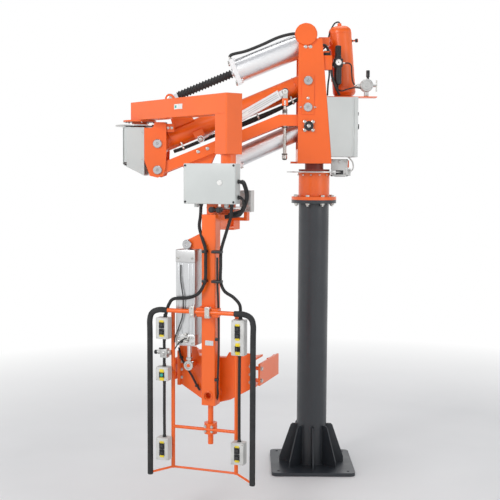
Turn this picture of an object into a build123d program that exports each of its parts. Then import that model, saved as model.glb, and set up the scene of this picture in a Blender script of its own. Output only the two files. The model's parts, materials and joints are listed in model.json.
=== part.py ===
from build123d import *
from math import atan2, cos, degrees, hypot, radians, sin
import os

# ---------------------------------------------------------------- driving dimensions (mm)
# Base and column
BASE = 600
BASE_T = 25
COLUMN_R = 109.5
COLUMN_WALL = 10
COLUMN_TOP = 1943
FLANGE_R = 162.5
FLANGE_T = 23.5
GUSSET_REACH = 237
GUSSET_TOP = 311
GUSSET_T = 10
ANCHOR_R = 11
ANCHOR_INSET = 50
# Turret and slewing brake
TURRET_R = 112
TURRET_WALL = 14
TURRET_TOP = 2163
SLEW_SHAFT_R = 45
SLEW_DISC_R = 199
DISC_T = 8
NECK_R = 67
RUNNING = 0.05
# Head
HEAD_BOTTOM = 2228
HEAD_PLATE_T = 25
HEAD_TOP = 3105
HEAD_LEFT = -128
HEAD_RIGHT_LOW = 112
HEAD_RIGHT_HIGH = 38
SIDE_Y = 150
SIDE_T = 12
CAP_R = 76
CAP_X = -76
CAP_Z = 3132
SHELF_Z = 2708
REGULATOR_X = 158
REGULATOR_Y = -60
GAUGE_Z = 2943
VALVE_X = 367
VALVE_Z = 2788
CABINET_RIGHT = 270.7
CABINET_LOW = 2277
CABINET_HIGH = 2697
HINGE_Y = 157
# Parallelogram arm: upper pivot B, lower pivot below it
PIVOT_X = -59
PIVOT_Z = 2810
PIVOT_GAP = 186
ARM_LENGTH = 1155
ARM_DROP = 22.8
ARM_R = 70
PIN_R = 25
HUB_R = 75
HUB_Y = 75
LINK_Y0 = 80
LINK_Y1 = 130
LINK_H = 80
KNEE_X = -252
KNEE_Z = 2533
# Balancing cylinders
UPPER_X = -68
UPPER_Z = 3089
HORN_S = 956
HORN_H = 269
LOWER_X = -52
LOWER_Z = 2492
LOWER_END_X = -836
LOWER_END_Z = 2140
# Locking cylinder beside the arm
LOCK_Y = -112
LOCK_X = -220
LOCK_Z = 2736
LOCK_HALF = 31
LOCK_S = 859
LOCK_H = -88
# Wrist and forearm
WRIST_X = -1265
WRIST_DISC_Z = 2488
FOREARM_TURN = -53
FOREARM_REACH = 1100
BEAM = 127
BEAM_BOTTOM = 2531
LEG_BOTTOM = 2276
TOOL_DISC_Z = 1934
# Tool, in its own frame: x to its right, front at -y
TOOL_TURN = -19
MAST = 90
MAST_Y = -300
MAST_BOTTOM = 735
MAST_TOP = 1907
TILT_Z = 795
TILT_R = 25
TILT_CYL_X = -142
TILT_CYL_Y = -300
TILT_TOP_Z = 1722
TILT_EYE_Z = 968
FRAME_X = -28
HANDLE_HALF = 336
INNER_HALF = 209
HANDLE_Y = -400
INNER_Y = -335
TOP_BAR_Z = 1320
HANDLE_LOW = 287
INNER_LOW = 320
# Gripper
DRUM_Y = 110
DRUM_R = 260
YOKE_Y = -220
YOKE_T = 12
JAW_Z0 = 850
JAW_Z1 = 985

os.makedirs("parts", exist_ok=True)


# ---------------------------------------------------------------- helpers
def bar(a, b, r):
    """Round bar from point a to point b."""
    start = Vector(*a)
    run = Vector(*b) - start
    return Solid.make_cylinder(r, run.length, Plane(origin=start, z_dir=run))


def pin(x, z, y0, y1, r):
    """Round bar across the machine, along Y."""
    return bar((x, y0, z), (x, y1, z), r)


def post(x, y, z0, z1, r):
    return bar((x, y, z0), (x, y, z1), r)


def block(x0, x1, y0, y1, z0, z1):
    return Solid.make_box(x1 - x0, y1 - y0, z1 - z0, Plane((x0, y0, z0)))


def plate(points, y0, y1):
    """Outline in X and Z, thick in Y."""
    face = Face(Wire.make_polygon([(x, y0, z) for x, z in points], close=True))
    return extrude(face, y1 - y0, dir=(0, 1, 0))


def flat(points, z0, z1):
    """Outline in X and Y, thick in Z."""
    face = Face(Wire.make_polygon([(x, y, z0) for x, y in points], close=True))
    return extrude(face, z1 - z0, dir=(0, 0, 1))


def rounded(x0, x1, y0, y1, z0, z1, r):
    """Block with its upright edges rounded."""
    body = block(x0, x1, y0, y1, z0, z1)
    return fillet(body.edges().filter_by(Axis.Z), r)


def hose(points, r, bend):
    """Round tube along straight runs joined by arcs."""
    path = FilletPolyline(*points, radius=bend)
    section = Plane(origin=path @ 0, z_dir=path % 0) * Circle(r)
    return sweep(section, path=path)


def around(count, radius, start=0):
    """Points evenly spaced on a circle."""
    return [(radius * cos(radians(start + 360 * i / count)),
             radius * sin(radians(start + 360 * i / count))) for i in range(count)]


def save(name, *shapes):
    solids = [s for shape in shapes for s in shape.solids()]
    export_step(Compound(children=solids) if len(solids) > 1 else solids[0], f"parts/{name}.step")


def joined(*shapes):
    whole = shapes[0]
    for shape in shapes[1:]:
        whole = whole + shape
    return whole


# ---------------------------------------------------------------- shared places
ARM_X = -cos(radians(ARM_DROP))
ARM_Z = -sin(radians(ARM_DROP))
LOW_Z = PIVOT_Z - PIVOT_GAP
W_X = PIVOT_X + ARM_LENGTH * ARM_X
W_Z = PIVOT_Z + ARM_LENGTH * ARM_Z
W_LOW = W_Z - PIVOT_GAP


def arm(s, h):
    """X and Z of a point s along the arm and h above its axis."""
    return PIVOT_X + s * ARM_X + h * ARM_Z, PIVOT_Z + s * ARM_Z - h * ARM_X


def arm_block(s0, s1, h0, h1, y0, y1):
    return plate([arm(s0, h0), arm(s1, h0), arm(s1, h1), arm(s0, h1)], y0, y1)


def axis_frame(x, z, end_x, end_z):
    """Frame with x along a cylinder's axis, y across the machine, z up off it."""
    run = Vector(end_x - x, 0, end_z - z).normalized()
    return Plane(origin=(x, 0, z), x_dir=run, z_dir=(run.Z, 0, -run.X)).location


HORN_X, HORN_Z = arm(HORN_S, HORN_H)
LUG_X, LUG_Z = arm(LOCK_S, LOCK_H)
UPPER = axis_frame(UPPER_X, UPPER_Z, HORN_X, HORN_Z)
UPPER_LENGTH = hypot(HORN_X - UPPER_X, HORN_Z - UPPER_Z)
LOWER = axis_frame(LOWER_X, LOWER_Z, LOWER_END_X, LOWER_END_Z)
LOWER_LENGTH = hypot(LOWER_END_X - LOWER_X, LOWER_END_Z - LOWER_Z)
LOCK = Location((0, LOCK_Y, 0)) * axis_frame(LOCK_X, LOCK_Z, LUG_X, LUG_Z)
LOCK_LENGTH = hypot(LUG_X - LOCK_X, LUG_Z - LOCK_Z)
FOREARM = Location((WRIST_X, 0, 0), (0, 0, FOREARM_TURN))
LEG_X = WRIST_X + FOREARM_REACH * cos(radians(FOREARM_TURN))
LEG_Y = FOREARM_REACH * sin(radians(FOREARM_TURN))
TOOL = Location((LEG_X, LEG_Y, 0), (0, 0, TOOL_TURN))


# ---------------------------------------------------------------- column
def column():
    base = rounded(-BASE / 2, BASE / 2, -BASE / 2, BASE / 2, 0, BASE_T, 40)
    reach = BASE / 2 - ANCHOR_INSET
    for x in (-reach, reach):
        for y in (-reach, reach):
            base = base - post(x, y, 0, BASE_T, ANCHOR_R)
    tube = post(0, 0, BASE_T, COLUMN_TOP, COLUMN_R)
    body = joined(base, tube, post(0, 0, COLUMN_TOP, COLUMN_TOP + FLANGE_T, FLANGE_R))
    inner = COLUMN_R - 2
    outline = [(inner, BASE_T), (GUSSET_REACH, BASE_T), (GUSSET_REACH, 62), (155, GUSSET_TOP - 12),
               (143, GUSSET_TOP), (inner, GUSSET_TOP)]
    rib = plate(outline, -GUSSET_T / 2, GUSSET_T / 2)
    for i in range(8):
        body = body + rib.rotate(Axis.Z, 45 * i)
    body = body - post(0, 0, BASE_T, COLUMN_TOP + FLANGE_T, COLUMN_R - COLUMN_WALL)
    for x, y in around(8, 140, 22.5):
        body = body - post(x, y, COLUMN_TOP, COLUMN_TOP + FLANGE_T, 8)
    save("column", body)


def column_bolts():
    low = COLUMN_TOP
    high = COLUMN_TOP + 2 * FLANGE_T
    bolts = []
    for x, y in around(8, 140, 22.5):
        shank = post(x, y, low - 22, high, 8)
        bolts.append(joined(shank, post(x, y, low - 16, low, 13), post(x, y, high, high + 12, 13)))
    save("column_bolts", *bolts)


def turret():
    low = COLUMN_TOP + FLANGE_T
    body = joined(post(0, 0, low, low + FLANGE_T, FLANGE_R), post(0, 0, low, TURRET_TOP, TURRET_R),
                  post(0, 0, TURRET_TOP - 14, TURRET_TOP, 117))
    body = body - post(0, 0, low, TURRET_TOP, TURRET_R - TURRET_WALL)
    for x, y in around(8, 140, 22.5):
        body = body - post(x, y, low, low + FLANGE_T, 8)
    save("turret_housing", body)
    races = []
    for z in (low + 20, TURRET_TOP - 45):
        race = post(0, 0, z, z + 30, TURRET_R - TURRET_WALL) - post(0, 0, z, z + 30, SLEW_SHAFT_R + RUNNING)
        races.append(race)
    save("slew_bearings", *races)
    disc = post(0, 0, TURRET_TOP, TURRET_TOP + DISC_T, SLEW_DISC_R)
    disc = disc - post(0, 0, TURRET_TOP, TURRET_TOP + DISC_T, SLEW_SHAFT_R + 5)
    save("slew_brake_disc", disc)


# ---------------------------------------------------------------- head
def head_edge(z, inset=0):
    """X of the head's sloping rear edge at height z."""
    low = HEAD_BOTTOM + HEAD_PLATE_T
    share = (z - low) / (HEAD_TOP - low)
    return HEAD_RIGHT_LOW + share * (HEAD_RIGHT_HIGH - HEAD_RIGHT_LOW) - inset


def head_frame():
    low = HEAD_BOTTOM + HEAD_PLATE_T
    base = block(HEAD_LEFT, HEAD_RIGHT_LOW, -SIDE_Y, SIDE_Y, HEAD_BOTTOM, low)
    stop = block(HEAD_LEFT - 45, HEAD_LEFT + 10, -20, 20, HEAD_BOTTOM, HEAD_BOTTOM + 14)
    body = base + stop
    outline = [(HEAD_LEFT, low), (HEAD_RIGHT_LOW, low), (HEAD_RIGHT_HIGH, HEAD_TOP), (HEAD_LEFT, HEAD_TOP)]
    for side in (-1, 1):
        faces = sorted((side * SIDE_Y, side * (SIDE_Y - SIDE_T)))
        caps = sorted((side * (SIDE_Y - SIDE_T), side * (SIDE_Y + 15)))
        body = joined(body, plate(outline, *faces), pin(CAP_X, CAP_Z, *caps, CAP_R))
    web = [(head_edge(low), low), (head_edge(HEAD_TOP), HEAD_TOP),
           (head_edge(HEAD_TOP, 12), HEAD_TOP), (head_edge(low, 12), low)]
    inner = SIDE_Y - SIDE_T
    body = joined(body, plate(web, -inner, inner),
                  block(HEAD_LEFT, HEAD_LEFT + 12, -inner, inner, low, 2330))
    body = body + block(PIVOT_X - 43, PIVOT_X + 43, -SIDE_Y - 8, -SIDE_Y, 2575, 2850)
    body = body + block(20, 95, -60, 60, HEAD_TOP - 40, HEAD_TOP + 20)
    shelf_x = head_edge(SHELF_Z) - 2
    shelf_low = SHELF_Z - 7
    body = body + block(shelf_x, 440, -70, 30, shelf_low, SHELF_Z) + block(shelf_x, 150, 30, 190,
                                                                           shelf_low, SHELF_Z)
    body = body + block(100, 250, -28, 35, HEAD_BOTTOM, low) + block(225, 250, -28, 35, 2200, HEAD_BOTTOM)
    for x, z, r in head_bores():
        body = body - pin(x, z, -SIDE_Y - 8, SIDE_Y, r)
    save("head_frame", body)


def head_bores():
    return [(PIVOT_X, PIVOT_Z, PIN_R), (PIVOT_X, LOW_Z, PIN_R),
            (UPPER_X, UPPER_Z, 20), (LOWER_X, LOWER_Z, 20)]


def pivot_pins(name, x, z_high, z_low, front, back):
    """Two crosswise pins with end washers, and spacers beside the arm's hub."""
    pins = []
    for z in (z_high, z_low):
        body = joined(pin(x, z, -front - 2, back + 2, PIN_R), pin(x, z, -front - 8, -front, 31),
                      pin(x, z, back, back + 8, 31))
        pins.append(body)
    inner = SIDE_Y - SIDE_T
    for side in (-1, 1):
        pins[0] = pins[0] + pin(x, z_high, *sorted((side * inner, side * (HUB_Y + 0.3))), 36)
    save(name, *pins)


def head_parts():
    shaft = joined(post(0, 0, COLUMN_TOP + 60, HEAD_BOTTOM, SLEW_SHAFT_R),
                   post(0, 0, TURRET_TOP + DISC_T + 1, HEAD_BOTTOM, NECK_R),
                   post(0, 0, TURRET_TOP + DISC_T + 1, TURRET_TOP + DISC_T + 16, 112))
    save("slew_shaft", shaft)
    pivot_pins("head_pins", PIVOT_X, PIVOT_Z, LOW_Z, SIDE_Y + 8, SIDE_Y)
    upper_pin = pin(UPPER_X, UPPER_Z, -SIDE_Y, SIDE_Y, 20)
    lower_pin = pin(LOWER_X, LOWER_Z, -SIDE_Y, SIDE_Y, 20)
    flange = pin(LOWER_X, LOWER_Z, -SIDE_Y - 12, -SIDE_Y, 34)
    for dx in (-29, 29):
        for dz in (-29, 29):
            flange = flange + pin(LOWER_X + dx, LOWER_Z + dz, -SIDE_Y - 16, -SIDE_Y, 11)
    save("cylinder_pins", upper_pin, lower_pin + flange)


def tank_frame():
    lean = degrees(atan2(HEAD_RIGHT_LOW - HEAD_RIGHT_HIGH, HEAD_TOP - HEAD_BOTTOM))
    return Location((226, 115, SHELF_Z), (0, -lean, 0))


def air_tank():
    place = tank_frame()
    shell = post(0, 0, 6, 520, 84)
    tank = fillet(shell.edges().filter_by(GeomType.CIRCLE), 45)
    tank = tank - post(0, 0, 30, 496, 79)
    tank = joined(tank, post(0, 0, 515, 542, 14), bar((70, 0, 410), (118, 0, 410), 6),
                  bar((108, 0, 410), (126, 0, 410), 13))
    tank = (place * tank) + block(95, 190, 100, 130, 3060, 3085)
    tank = tank - block(-200, head_edge(3072) + 4, 0, 200, 3000, 3200)
    save("air_tank", tank - block(20, 95, -60, 60, 3000, 3200))


def air_preparation():
    """Filter regulator, its knob and gauge, and the pilot valve on the shelf."""
    x = REGULATOR_X
    y = REGULATOR_Y
    z = GAUGE_Z
    back = head_edge(2900)
    unit = joined(post(x, y, z - 154, z + 35, 27), post(x, y, z + 35, z + 49, 20),
                  block(x - 30, x + 30, y - 26, y + 26, z - 30, z + 30),
                  block(back + 6, x, y - 12, y + 12, z - 25, z + 5),
                  block(x + 20, x + 52, y - 9, y + 9, z - 10, z + 8))
    save("filter_regulator", unit)
    save("regulator_knob", post(x, y, z + 49.3, z + 123, 21))
    save("pressure_gauge", bar((x, y - 27, z), (x, y - 58, z), 25))
    x = VALVE_X
    z = VALVE_Z
    valve = joined(bar((x, -62, z), (x, 0, z), 46), block(x - 15, x + 15, -45, -15, SHELF_Z, z - 20),
                   block(x - 67, x - 27, -40, -20, z - 10, z + 10), post(x + 8, -30, z + 40, z + 110, 13),
                   bar((x + 33, -30, z), (x + 62, -30, z), 12))
    save("pilot_valve", valve)
    lever = bar((x + 62.3, -30, z), (x + 70, -30, z), 11) + block(x + 70, x + 77, -36, -24, z - 46, z + 40)
    save("valve_lever", lever)


def enclosure():
    low = CABINET_LOW
    high = CABINET_HIGH
    right = CABINET_RIGHT
    outline = [(head_edge(low) + 1, low), (right, low), (right, high), (head_edge(high) + 1, high)]
    inside = [(head_edge(low) + 4, low + 3), (right, low + 3), (right, high - 3),
              (head_edge(high) + 4, high - 3)]
    cabinet = plate(outline, -SIDE_Y, SIDE_Y) - plate(inside, -SIDE_Y + 3, SIDE_Y - 3)
    for z in (2350, 2640):
        cabinet = cabinet + block(head_edge(z) - 3, head_edge(z) + 3, -60, 60, z - 10, z + 10)
    cabinet = cabinet - head_block()
    door_x = right + 0.5
    door = rounded(door_x, door_x + 27, -SIDE_Y, SIDE_Y, low - 2, high + 2, 4)
    door = door - block(door_x, door_x + 25, -SIDE_Y + 3, SIDE_Y - 3, low + 2, high - 2)
    door = joined(door, block(door_x + 27, door_x + 36, 100, 118, 2470, 2510))
    for z in (2320, 2630):
        leaf = block(right - 20, right, SIDE_Y - 1, SIDE_Y + 2, z, z + 25)
        knuckle = post(door_x, HINGE_Y, z, z + 25, 6) + block(door_x - 5, door_x, SIDE_Y + 1, HINGE_Y, z,
                                                              z + 25)
        cabinet = cabinet + leaf + knuckle + post(door_x, HINGE_Y, z, z + 50, 3)
        sleeve = post(door_x, HINGE_Y, z + 25.3, z + 50, 6)
        sleeve = sleeve + block(door_x, door_x + 5, SIDE_Y - 1, HINGE_Y, z + 25.3, z + 50)
        sleeve = sleeve + block(door_x + 4, door_x + 22, SIDE_Y - 1, SIDE_Y + 2, z + 25.3, z + 50)
        door = door + (sleeve - post(door_x, HINGE_Y, z + 25, z + 51, 3 + RUNNING))
    save("head_enclosure", cabinet)
    save("enclosure_door", door)


def slew_caliper():
    z = TURRET_TOP + DISC_T / 2
    jaw = block(150, 222, -32, 32, z - 34, z + 34) - block(140, SLEW_DISC_R + 5, -40, 40, z - 9, z + 9)
    body = joined(jaw, block(222, 262, -30, 30, z - 26, z + 26))
    body = body - block(225, 250, -28, 35, z + 30, 2300)
    front = block(120, 236, -62, -29, z - 31, 2262)
    front = front - post(0, 0, z - 9, z + 9, SLEW_DISC_R + 5) - post(0, 0, z - 40, z - 9, 120)
    save("slew_brake_caliper", body + front)


def head_block():
    """The solid behind the head's sloping rear edge."""
    low = HEAD_BOTTOM + HEAD_PLATE_T
    outline = [(HEAD_LEFT, low), (HEAD_RIGHT_LOW, low), (HEAD_RIGHT_HIGH, HEAD_TOP), (HEAD_LEFT, HEAD_TOP)]
    return plate(outline, -300, 300)


def head_hoses():
    x = REGULATOR_X
    y = REGULATOR_Y
    z = VALVE_Z
    to_valve = hose([(x + 52, y, GAUGE_Z - 1), (245, y, GAUGE_Z - 1), (266, -50, 2880), (262, -34, z + 24),
                     (278, -30, z), (VALVE_X - 67, -30, z)], 5, 9)
    to_tank = hose([(x, y, GAUGE_Z - 154), (x, y, 2763), (176, -64, 2739), (200, -66, 2730)], 7, 9)
    save("head_hoses", to_valve, to_tank)


# ---------------------------------------------------------------- arm and lower link
def main_arm():
    body = bar((PIVOT_X + 40 * ARM_X, 0, PIVOT_Z + 40 * ARM_Z),
               (W_X - 40 * ARM_X, 0, W_Z - 40 * ARM_Z), ARM_R)
    hollow = bar((PIVOT_X + 90 * ARM_X, 0, PIVOT_Z + 90 * ARM_Z),
                 (W_X - 90 * ARM_X, 0, W_Z - 90 * ARM_Z), ARM_R - 7)
    for x, z in ((PIVOT_X, PIVOT_Z), (W_X, W_Z)):
        body = body + pin(x, z, -HUB_Y, HUB_Y, HUB_R)
    body = body - hollow
    ear = [arm(HORN_S - 105, 60), arm(HORN_S + 60, 60),
           arm(HORN_S + 30, HORN_H + 14), arm(HORN_S - 28, HORN_H + 20)]
    for y0, y1 in ((-44, -32), (32, 44)):
        body = joined(body, plate(ear, y0, y1), pin(HORN_X, HORN_Z, y0, y1, 34))
    body = body + pin(HORN_X, HORN_Z, -48, 48, 12)
    body = body + arm_block(LOCK_S - 36, LOCK_S + 36, -64, -20, -98, -40)
    body = body + arm_block(LOCK_S - 24, LOCK_S + 24, LOCK_H, -20, -98, -86) + pin(LUG_X, LUG_Z, -98, -86,
                                                                                   20)
    body = body + pin(LUG_X, LUG_Z, -126, -90, 8)
    for x, z in ((PIVOT_X, PIVOT_Z), (W_X, W_Z)):
        body = body - pin(x, z, -HUB_Y, HUB_Y, PIN_R + RUNNING)
    save("main_arm", body)
    points = [(*arm(150, -92), -58), (*arm(420, -94), -56), (*arm(720, -93), -60), (*arm(1000, -92), -57)]
    run = [(x, y, z) for x, z, y in points]
    save("arm_hoses", hose(run, 13, 400))


def lower_link():
    side = [(W_X, W_LOW - LINK_H / 2), (KNEE_X + 8, KNEE_Z - LINK_H / 2), (-105, KNEE_Z - LINK_H / 2),
            (-36, LOW_Z - 20), (-100, LOW_Z + 30), (-120, KNEE_Z + LINK_H / 2), (KNEE_X - 8,
                                                                                 KNEE_Z + LINK_H / 2),
            (W_X, W_LOW + LINK_H / 2)]
    hanger = [(-965, 2225), (-700, 2330), (-795, 2110), (-880, 2105)]
    body = None
    for y0, y1, h0, h1 in ((-LINK_Y1, -LINK_Y0, -92, -80), (LINK_Y0, LINK_Y1, 80, 92)):
        one = joined(plate(side, y0, y1), pin(PIVOT_X, LOW_Z, y0, y1, 44), pin(W_X, W_LOW, y0, y1, 44),
                     plate(hanger, h0, h1))
        body = one if body is None else body + one
    body = body + pin(LOWER_END_X, LOWER_END_Z, -92, 92, 14) + block(-700, -660, -LINK_Y0, LINK_Y0, 2310,
                                                                     2340)
    for x, z in ((PIVOT_X, LOW_Z), (W_X, W_LOW)):
        body = body - pin(x, z, -LINK_Y1, LINK_Y1, PIN_R + RUNNING)
    body = body - post(LOCK_X, LOCK_Y, 2400, 2700, 12)
    save("lower_link", body)
    spindle = joined(post(LOCK_X, LOCK_Y, 2262, 2700, 12), post(LOCK_X, LOCK_Y, 2640, 2672, 22),
                     post(LOCK_X, LOCK_Y, 2600, 2616, 17), post(LOCK_X, LOCK_Y, 2573, 2583, 17),
                     post(LOCK_X, LOCK_Y, 2483, 2493, 17), post(LOCK_X, LOCK_Y, 2262, 2284, 19))
    cheeks = block(LOCK_X - 18, LOCK_X + 18, LOCK_Y - 19, LOCK_Y - 12.5, 2690, LOCK_Z + 10)
    cheeks = cheeks + block(LOCK_X - 18, LOCK_X + 18, LOCK_Y + 12.5, LOCK_Y + 19, 2690, LOCK_Z + 10)
    foot = block(LOCK_X - 18, LOCK_X + 18, LOCK_Y - 19, LOCK_Y + 19, 2672, 2700)
    save("lock_spindle", joined(spindle, cheeks, foot, pin(LOCK_X, LOCK_Z, LOCK_Y - 23, LOCK_Y + 19, 8)))


# ---------------------------------------------------------------- air cylinders
def air_cylinder(place, name, length, rear, front, piston, tube_r, cap, rod_r, eye_r, bore_r, pin_r):
    """Barrel from rear to front along x, with a square front cap, and a rod out to length."""
    half = cap / 2
    body = joined(bar((0, -30, 0), (0, 30, 0), eye_r),
                  block(0, rear + 5, -26, 26, -eye_r * 0.8, eye_r * 0.8),
                  bar((rear - 24, 0, 0), (front, 0, 0), tube_r), block(front - 32, front, -half, half,
                                                                       -half, half))
    body = body - bar((rear + 20, 0, 0), (front - 20, 0, 0), tube_r - 6)
    body = body - bar((front - 30, 0, 0), (front + 1, 0, 0), rod_r + RUNNING)
    body = body - bar((0, -31, 0), (0, 31, 0), pin_r + RUNNING)
    for y in (-half + 14, half - 14):
        for z in (-half + 14, half - 14):
            body = body + bar((front - 10, y, z), (front + 9, y, z), 9)
            body = body + bar((front - 46, y, z), (front - 20, y, z), 9)
    save(f"{name}_barrel", place * body)
    rod = bar((piston, 0, 0), (length - eye_r, 0, 0), rod_r)
    rod = joined(rod, bar((piston, 0, 0), (piston + 30, 0, 0), tube_r - 6.1),
                 bar((length, -22, 0), (length, 22, 0), eye_r),
                 block(length - eye_r - 24, length, -20, 20, -18, 18))
    save(f"{name}_rod", place * (rod - bar((length, -23, 0), (length, 23, 0), bore_r)))


def cylinders():
    air_cylinder(UPPER, "upper_cylinder", UPPER_LENGTH, 70, 563, 262, 85, 180, 20, 38, 26, 20)
    air_cylinder(LOWER, "lower_cylinder", LOWER_LENGTH, 62, 575, 359, 67, 140, 16, 30, 21, 20)
    ring = bar((572.5, 0, 0), (UPPER_LENGTH - 62, 0, 0), 29) - bar((572.5, 0, 0),
                                                                   (UPPER_LENGTH - 62, 0, 0), 22)
    save("upper_bellows", UPPER * ring)
    half = LOCK_HALF
    tube = joined(block(44, 440, -half, half, -half, half), bar((0, -12, 0), (0, 12, 0), 22),
                  block(0, 48, -12, 12, -20, 20))
    tube = tube - bar((60, 0, 0), (425, 0, 0), half - 5) - bar((400, 0, 0), (441, 0, 0), 8 + RUNNING)
    tube = tube - bar((0, -13, 0), (0, 13, 0), 8 + RUNNING)
    save("lock_cylinder_barrel", LOCK * tube)
    end = LOCK_LENGTH
    rod = bar((280, 0, 0), (end - 22, 0, 0), 8) + bar((280, 0, 0), (300, 0, 0), half - 5.1)
    rod = joined(rod, bar((end, -11, 0), (end, 11, 0), 25), bar((end - 60, 0, 0), (end - 22, 0, 0), 12))
    save("lock_cylinder_rod", LOCK * (rod - bar((end, -12, 0), (end, 12, 0), 19)))


# ---------------------------------------------------------------- wrist and forearm
def wrist():
    left = W_X - 94
    right = W_X + 63
    top = WRIST_DISC_Z - 8
    z_low = WRIST_DISC_Z - 14
    side = [(left, 2245), (left + 38, W_LOW - 42), (W_X, W_LOW - 55), (W_X + 40, W_LOW - 40),
            (right - 6, W_LOW + 15), (right, 2300), (right, 2500), (right - 14, 2514),
            (W_X - 20, 2514), (W_X - 30, top), (left, top)]
    body = post(WRIST_X, 0, 2215, top, 66)
    for side_y in (-1, 1):
        y0, y1 = sorted((side_y * SIDE_Y, side_y * (SIDE_Y - SIDE_T)))
        body = body + plate(side, y0, y1)
    inner = SIDE_Y - SIDE_T
    body = body + block(left, left + 14, -inner, inner, 2245, top)
    body = body + block(WRIST_X, left + 5, -8, 8, 2230, 2430)
    body = body + block(W_X - 40, right - 14, -inner, inner, top - 12, z_low)
    body = body + block(right - 4, right + 54, -126, -96, 2446, 2504)
    body = body + block(right - 12, right, -inner - 2, -96, 2446, z_low)
    body = body - post(WRIST_X, 0, z_low, 2600, 182)
    body = body - post(WRIST_X, 0, 2215, top, 40 + RUNNING)
    for z in (W_Z, W_LOW):
        body = body - pin(W_X, z, -SIDE_Y, SIDE_Y, PIN_R)
    save("wrist_frame", body)
    pivot_pins("wrist_pins", W_X, W_Z, W_LOW, SIDE_Y, SIDE_Y)
    sheet = [(-1374, 2213), (left - 0.5, 2135), (left - 0.5, 2478), (-1374, 2478)]
    hollow = [(-1370, 2217), (left, 2141), (left, 2474), (-1370, 2474)]
    cover = plate(sheet, -SIDE_Y, SIDE_Y) - plate(hollow, -SIDE_Y + 3, SIDE_Y - 3)
    for side_y in (-1, 1):
        corner = [(-1380, side_y * 110), (-1338, side_y * 152), (-1380, side_y * 152)]
        cover = cover - flat(corner, 2100, 2500)
    cover = cover - post(WRIST_X, 0, 2400, 2500, 70)
    for side_y in (-1, 1):
        fill = [(-1374, side_y * 107), (-1337, side_y * 149.9), (-1334, side_y * 146.5),
                (-1370, side_y * 105)]
        cover = cover + flat(fill, 2230, 2476)
    save("wrist_cover", cover)
    z = WRIST_DISC_Z + DISC_T / 2
    edge = WRIST_X + 175
    jaw = block(edge - 30, edge + 22, -46, -2, z - 18, z + 26) - block(edge - 40, edge + 6, -50, 0, z - 9,
                                                                       z + 9)
    save("wrist_brake_caliper", jaw)


def forearm():
    top = BEAM_BOTTOM + BEAM
    half = BEAM / 2
    beam = block(-25, FOREARM_REACH + half, -half, half, BEAM_BOTTOM, top)
    leg = block(FOREARM_REACH - half, FOREARM_REACH + half, -half, half, LEG_BOTTOM, BEAM_BOTTOM + 1)
    body = fillet((beam + leg).edges().filter_by(Axis.Z), 8)
    hollow = block(-15, FOREARM_REACH + half - 8, -half + 8, half - 8, BEAM_BOTTOM + 8, top - 8)
    body = body - hollow
    body = joined(body, post(0, 0, BEAM_BOTTOM - 12, BEAM_BOTTOM, 119),
                  post(0, 0, WRIST_DISC_Z + DISC_T, BEAM_BOTTOM, 57),
                  post(0, 0, 2225, WRIST_DISC_Z + DISC_T, 40),
                  post(FOREARM_REACH, 0, TOOL_DISC_Z + DISC_T, LEG_BOTTOM, 48),
                  post(FOREARM_REACH, 0, 1815, LEG_BOTTOM, 30))
    save("forearm_beam", FOREARM * body)
    disc = post(0, 0, WRIST_DISC_Z, WRIST_DISC_Z + DISC_T, 175) - post(0, 0, WRIST_DISC_Z,
                                                                       WRIST_DISC_Z + DISC_T, 40)
    save("forearm_brake_disc", FOREARM * disc)
    lower = post(FOREARM_REACH, 0, TOOL_DISC_Z, TOOL_DISC_Z + DISC_T, 140)
    save("tool_brake_disc", FOREARM * (lower - post(FOREARM_REACH, 0, TOOL_DISC_Z, TOOL_DISC_Z + DISC_T,
                                                    30)))


# ---------------------------------------------------------------- tool
def tool_mast():
    half = MAST / 2
    front = MAST_Y - half
    back = MAST_Y + half
    mast = block(-half, half, front, back, MAST_BOTTOM, MAST_TOP)
    mast = fillet(mast.edges().filter_by(Axis.Z), 7)
    mast = mast - block(-half + 6, half - 6, front + 6, back - 6, MAST_BOTTOM + 120, MAST_TOP - 6)
    housing = block(-58, 58, -58, 58, 1800, 1928)
    taper = [(-58, 58), (58, 58), (58, -58), (half, back + 4), (-half, back + 4), (-58, -58)]
    arms = flat(taper, 1812, 1824) + flat(taper, 1890, 1902)
    cheeks = block(-half, -half + 8, back - 2, -50, 1812, 1902) + block(half - 8, half, back - 2, -50,
                                                                        1812, 1902)
    body = joined(mast, housing, arms, cheeks)
    ear = [(-half + 2, 1800), (-half + 2, 1695), (TILT_CYL_X, 1695), (TILT_CYL_X - 8, TILT_TOP_Z + 25)]
    for y0, y1 in ((-324, -312), (-288, -276)):
        body = joined(body, plate(ear, y0, y1), pin(TILT_CYL_X, TILT_TOP_Z, y0, y1, 27))
    body = body + pin(TILT_CYL_X, TILT_TOP_Z, -340, -270, 14)
    body = body + block(52, 150, -70, -20, 1860, 1880) + block(130, 150, -70, -20, 1860, 1925)
    body = body + block(-35, 35, -284, -268, MAST_TOP - 7, 1972)
    body = joined(body, post(0, MAST_Y, 485, MAST_BOTTOM + 4, 17), post(0, MAST_Y, 552, 620, 40))
    body = body - post(0, 0, 1800, 1928, 30 + RUNNING)
    body = body - bar((0, front - 1, TILT_Z), (0, back + 1, TILT_Z), TILT_R + RUNNING)
    save("tool_mast", TOOL * body)


def tool_enclosure():
    body = rounded(-165, 168, -335, -240, 1972, 2214, 8)
    body = body - block(-162, 165, -332, -243, 1975, 2211)
    for x in (-100, 95):
        body = body + post(x, -290, 1950, 1972, 14)
    save("tool_enclosure", TOOL * body)
    z = TOOL_DISC_Z + DISC_T / 2
    jaw = block(105, 178, -78, -12, z - 22, z + 112) - block(90, 146, -80, -10, z - 9, z + 9)
    jaw = jaw - block(130, 150, -70, -20, 1850, 1925)
    save("tool_brake_caliper", TOOL * (jaw - post(0, 0, 1800, 2100, 60)))


def handle_x(side, half):
    return FRAME_X + side * half


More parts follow.
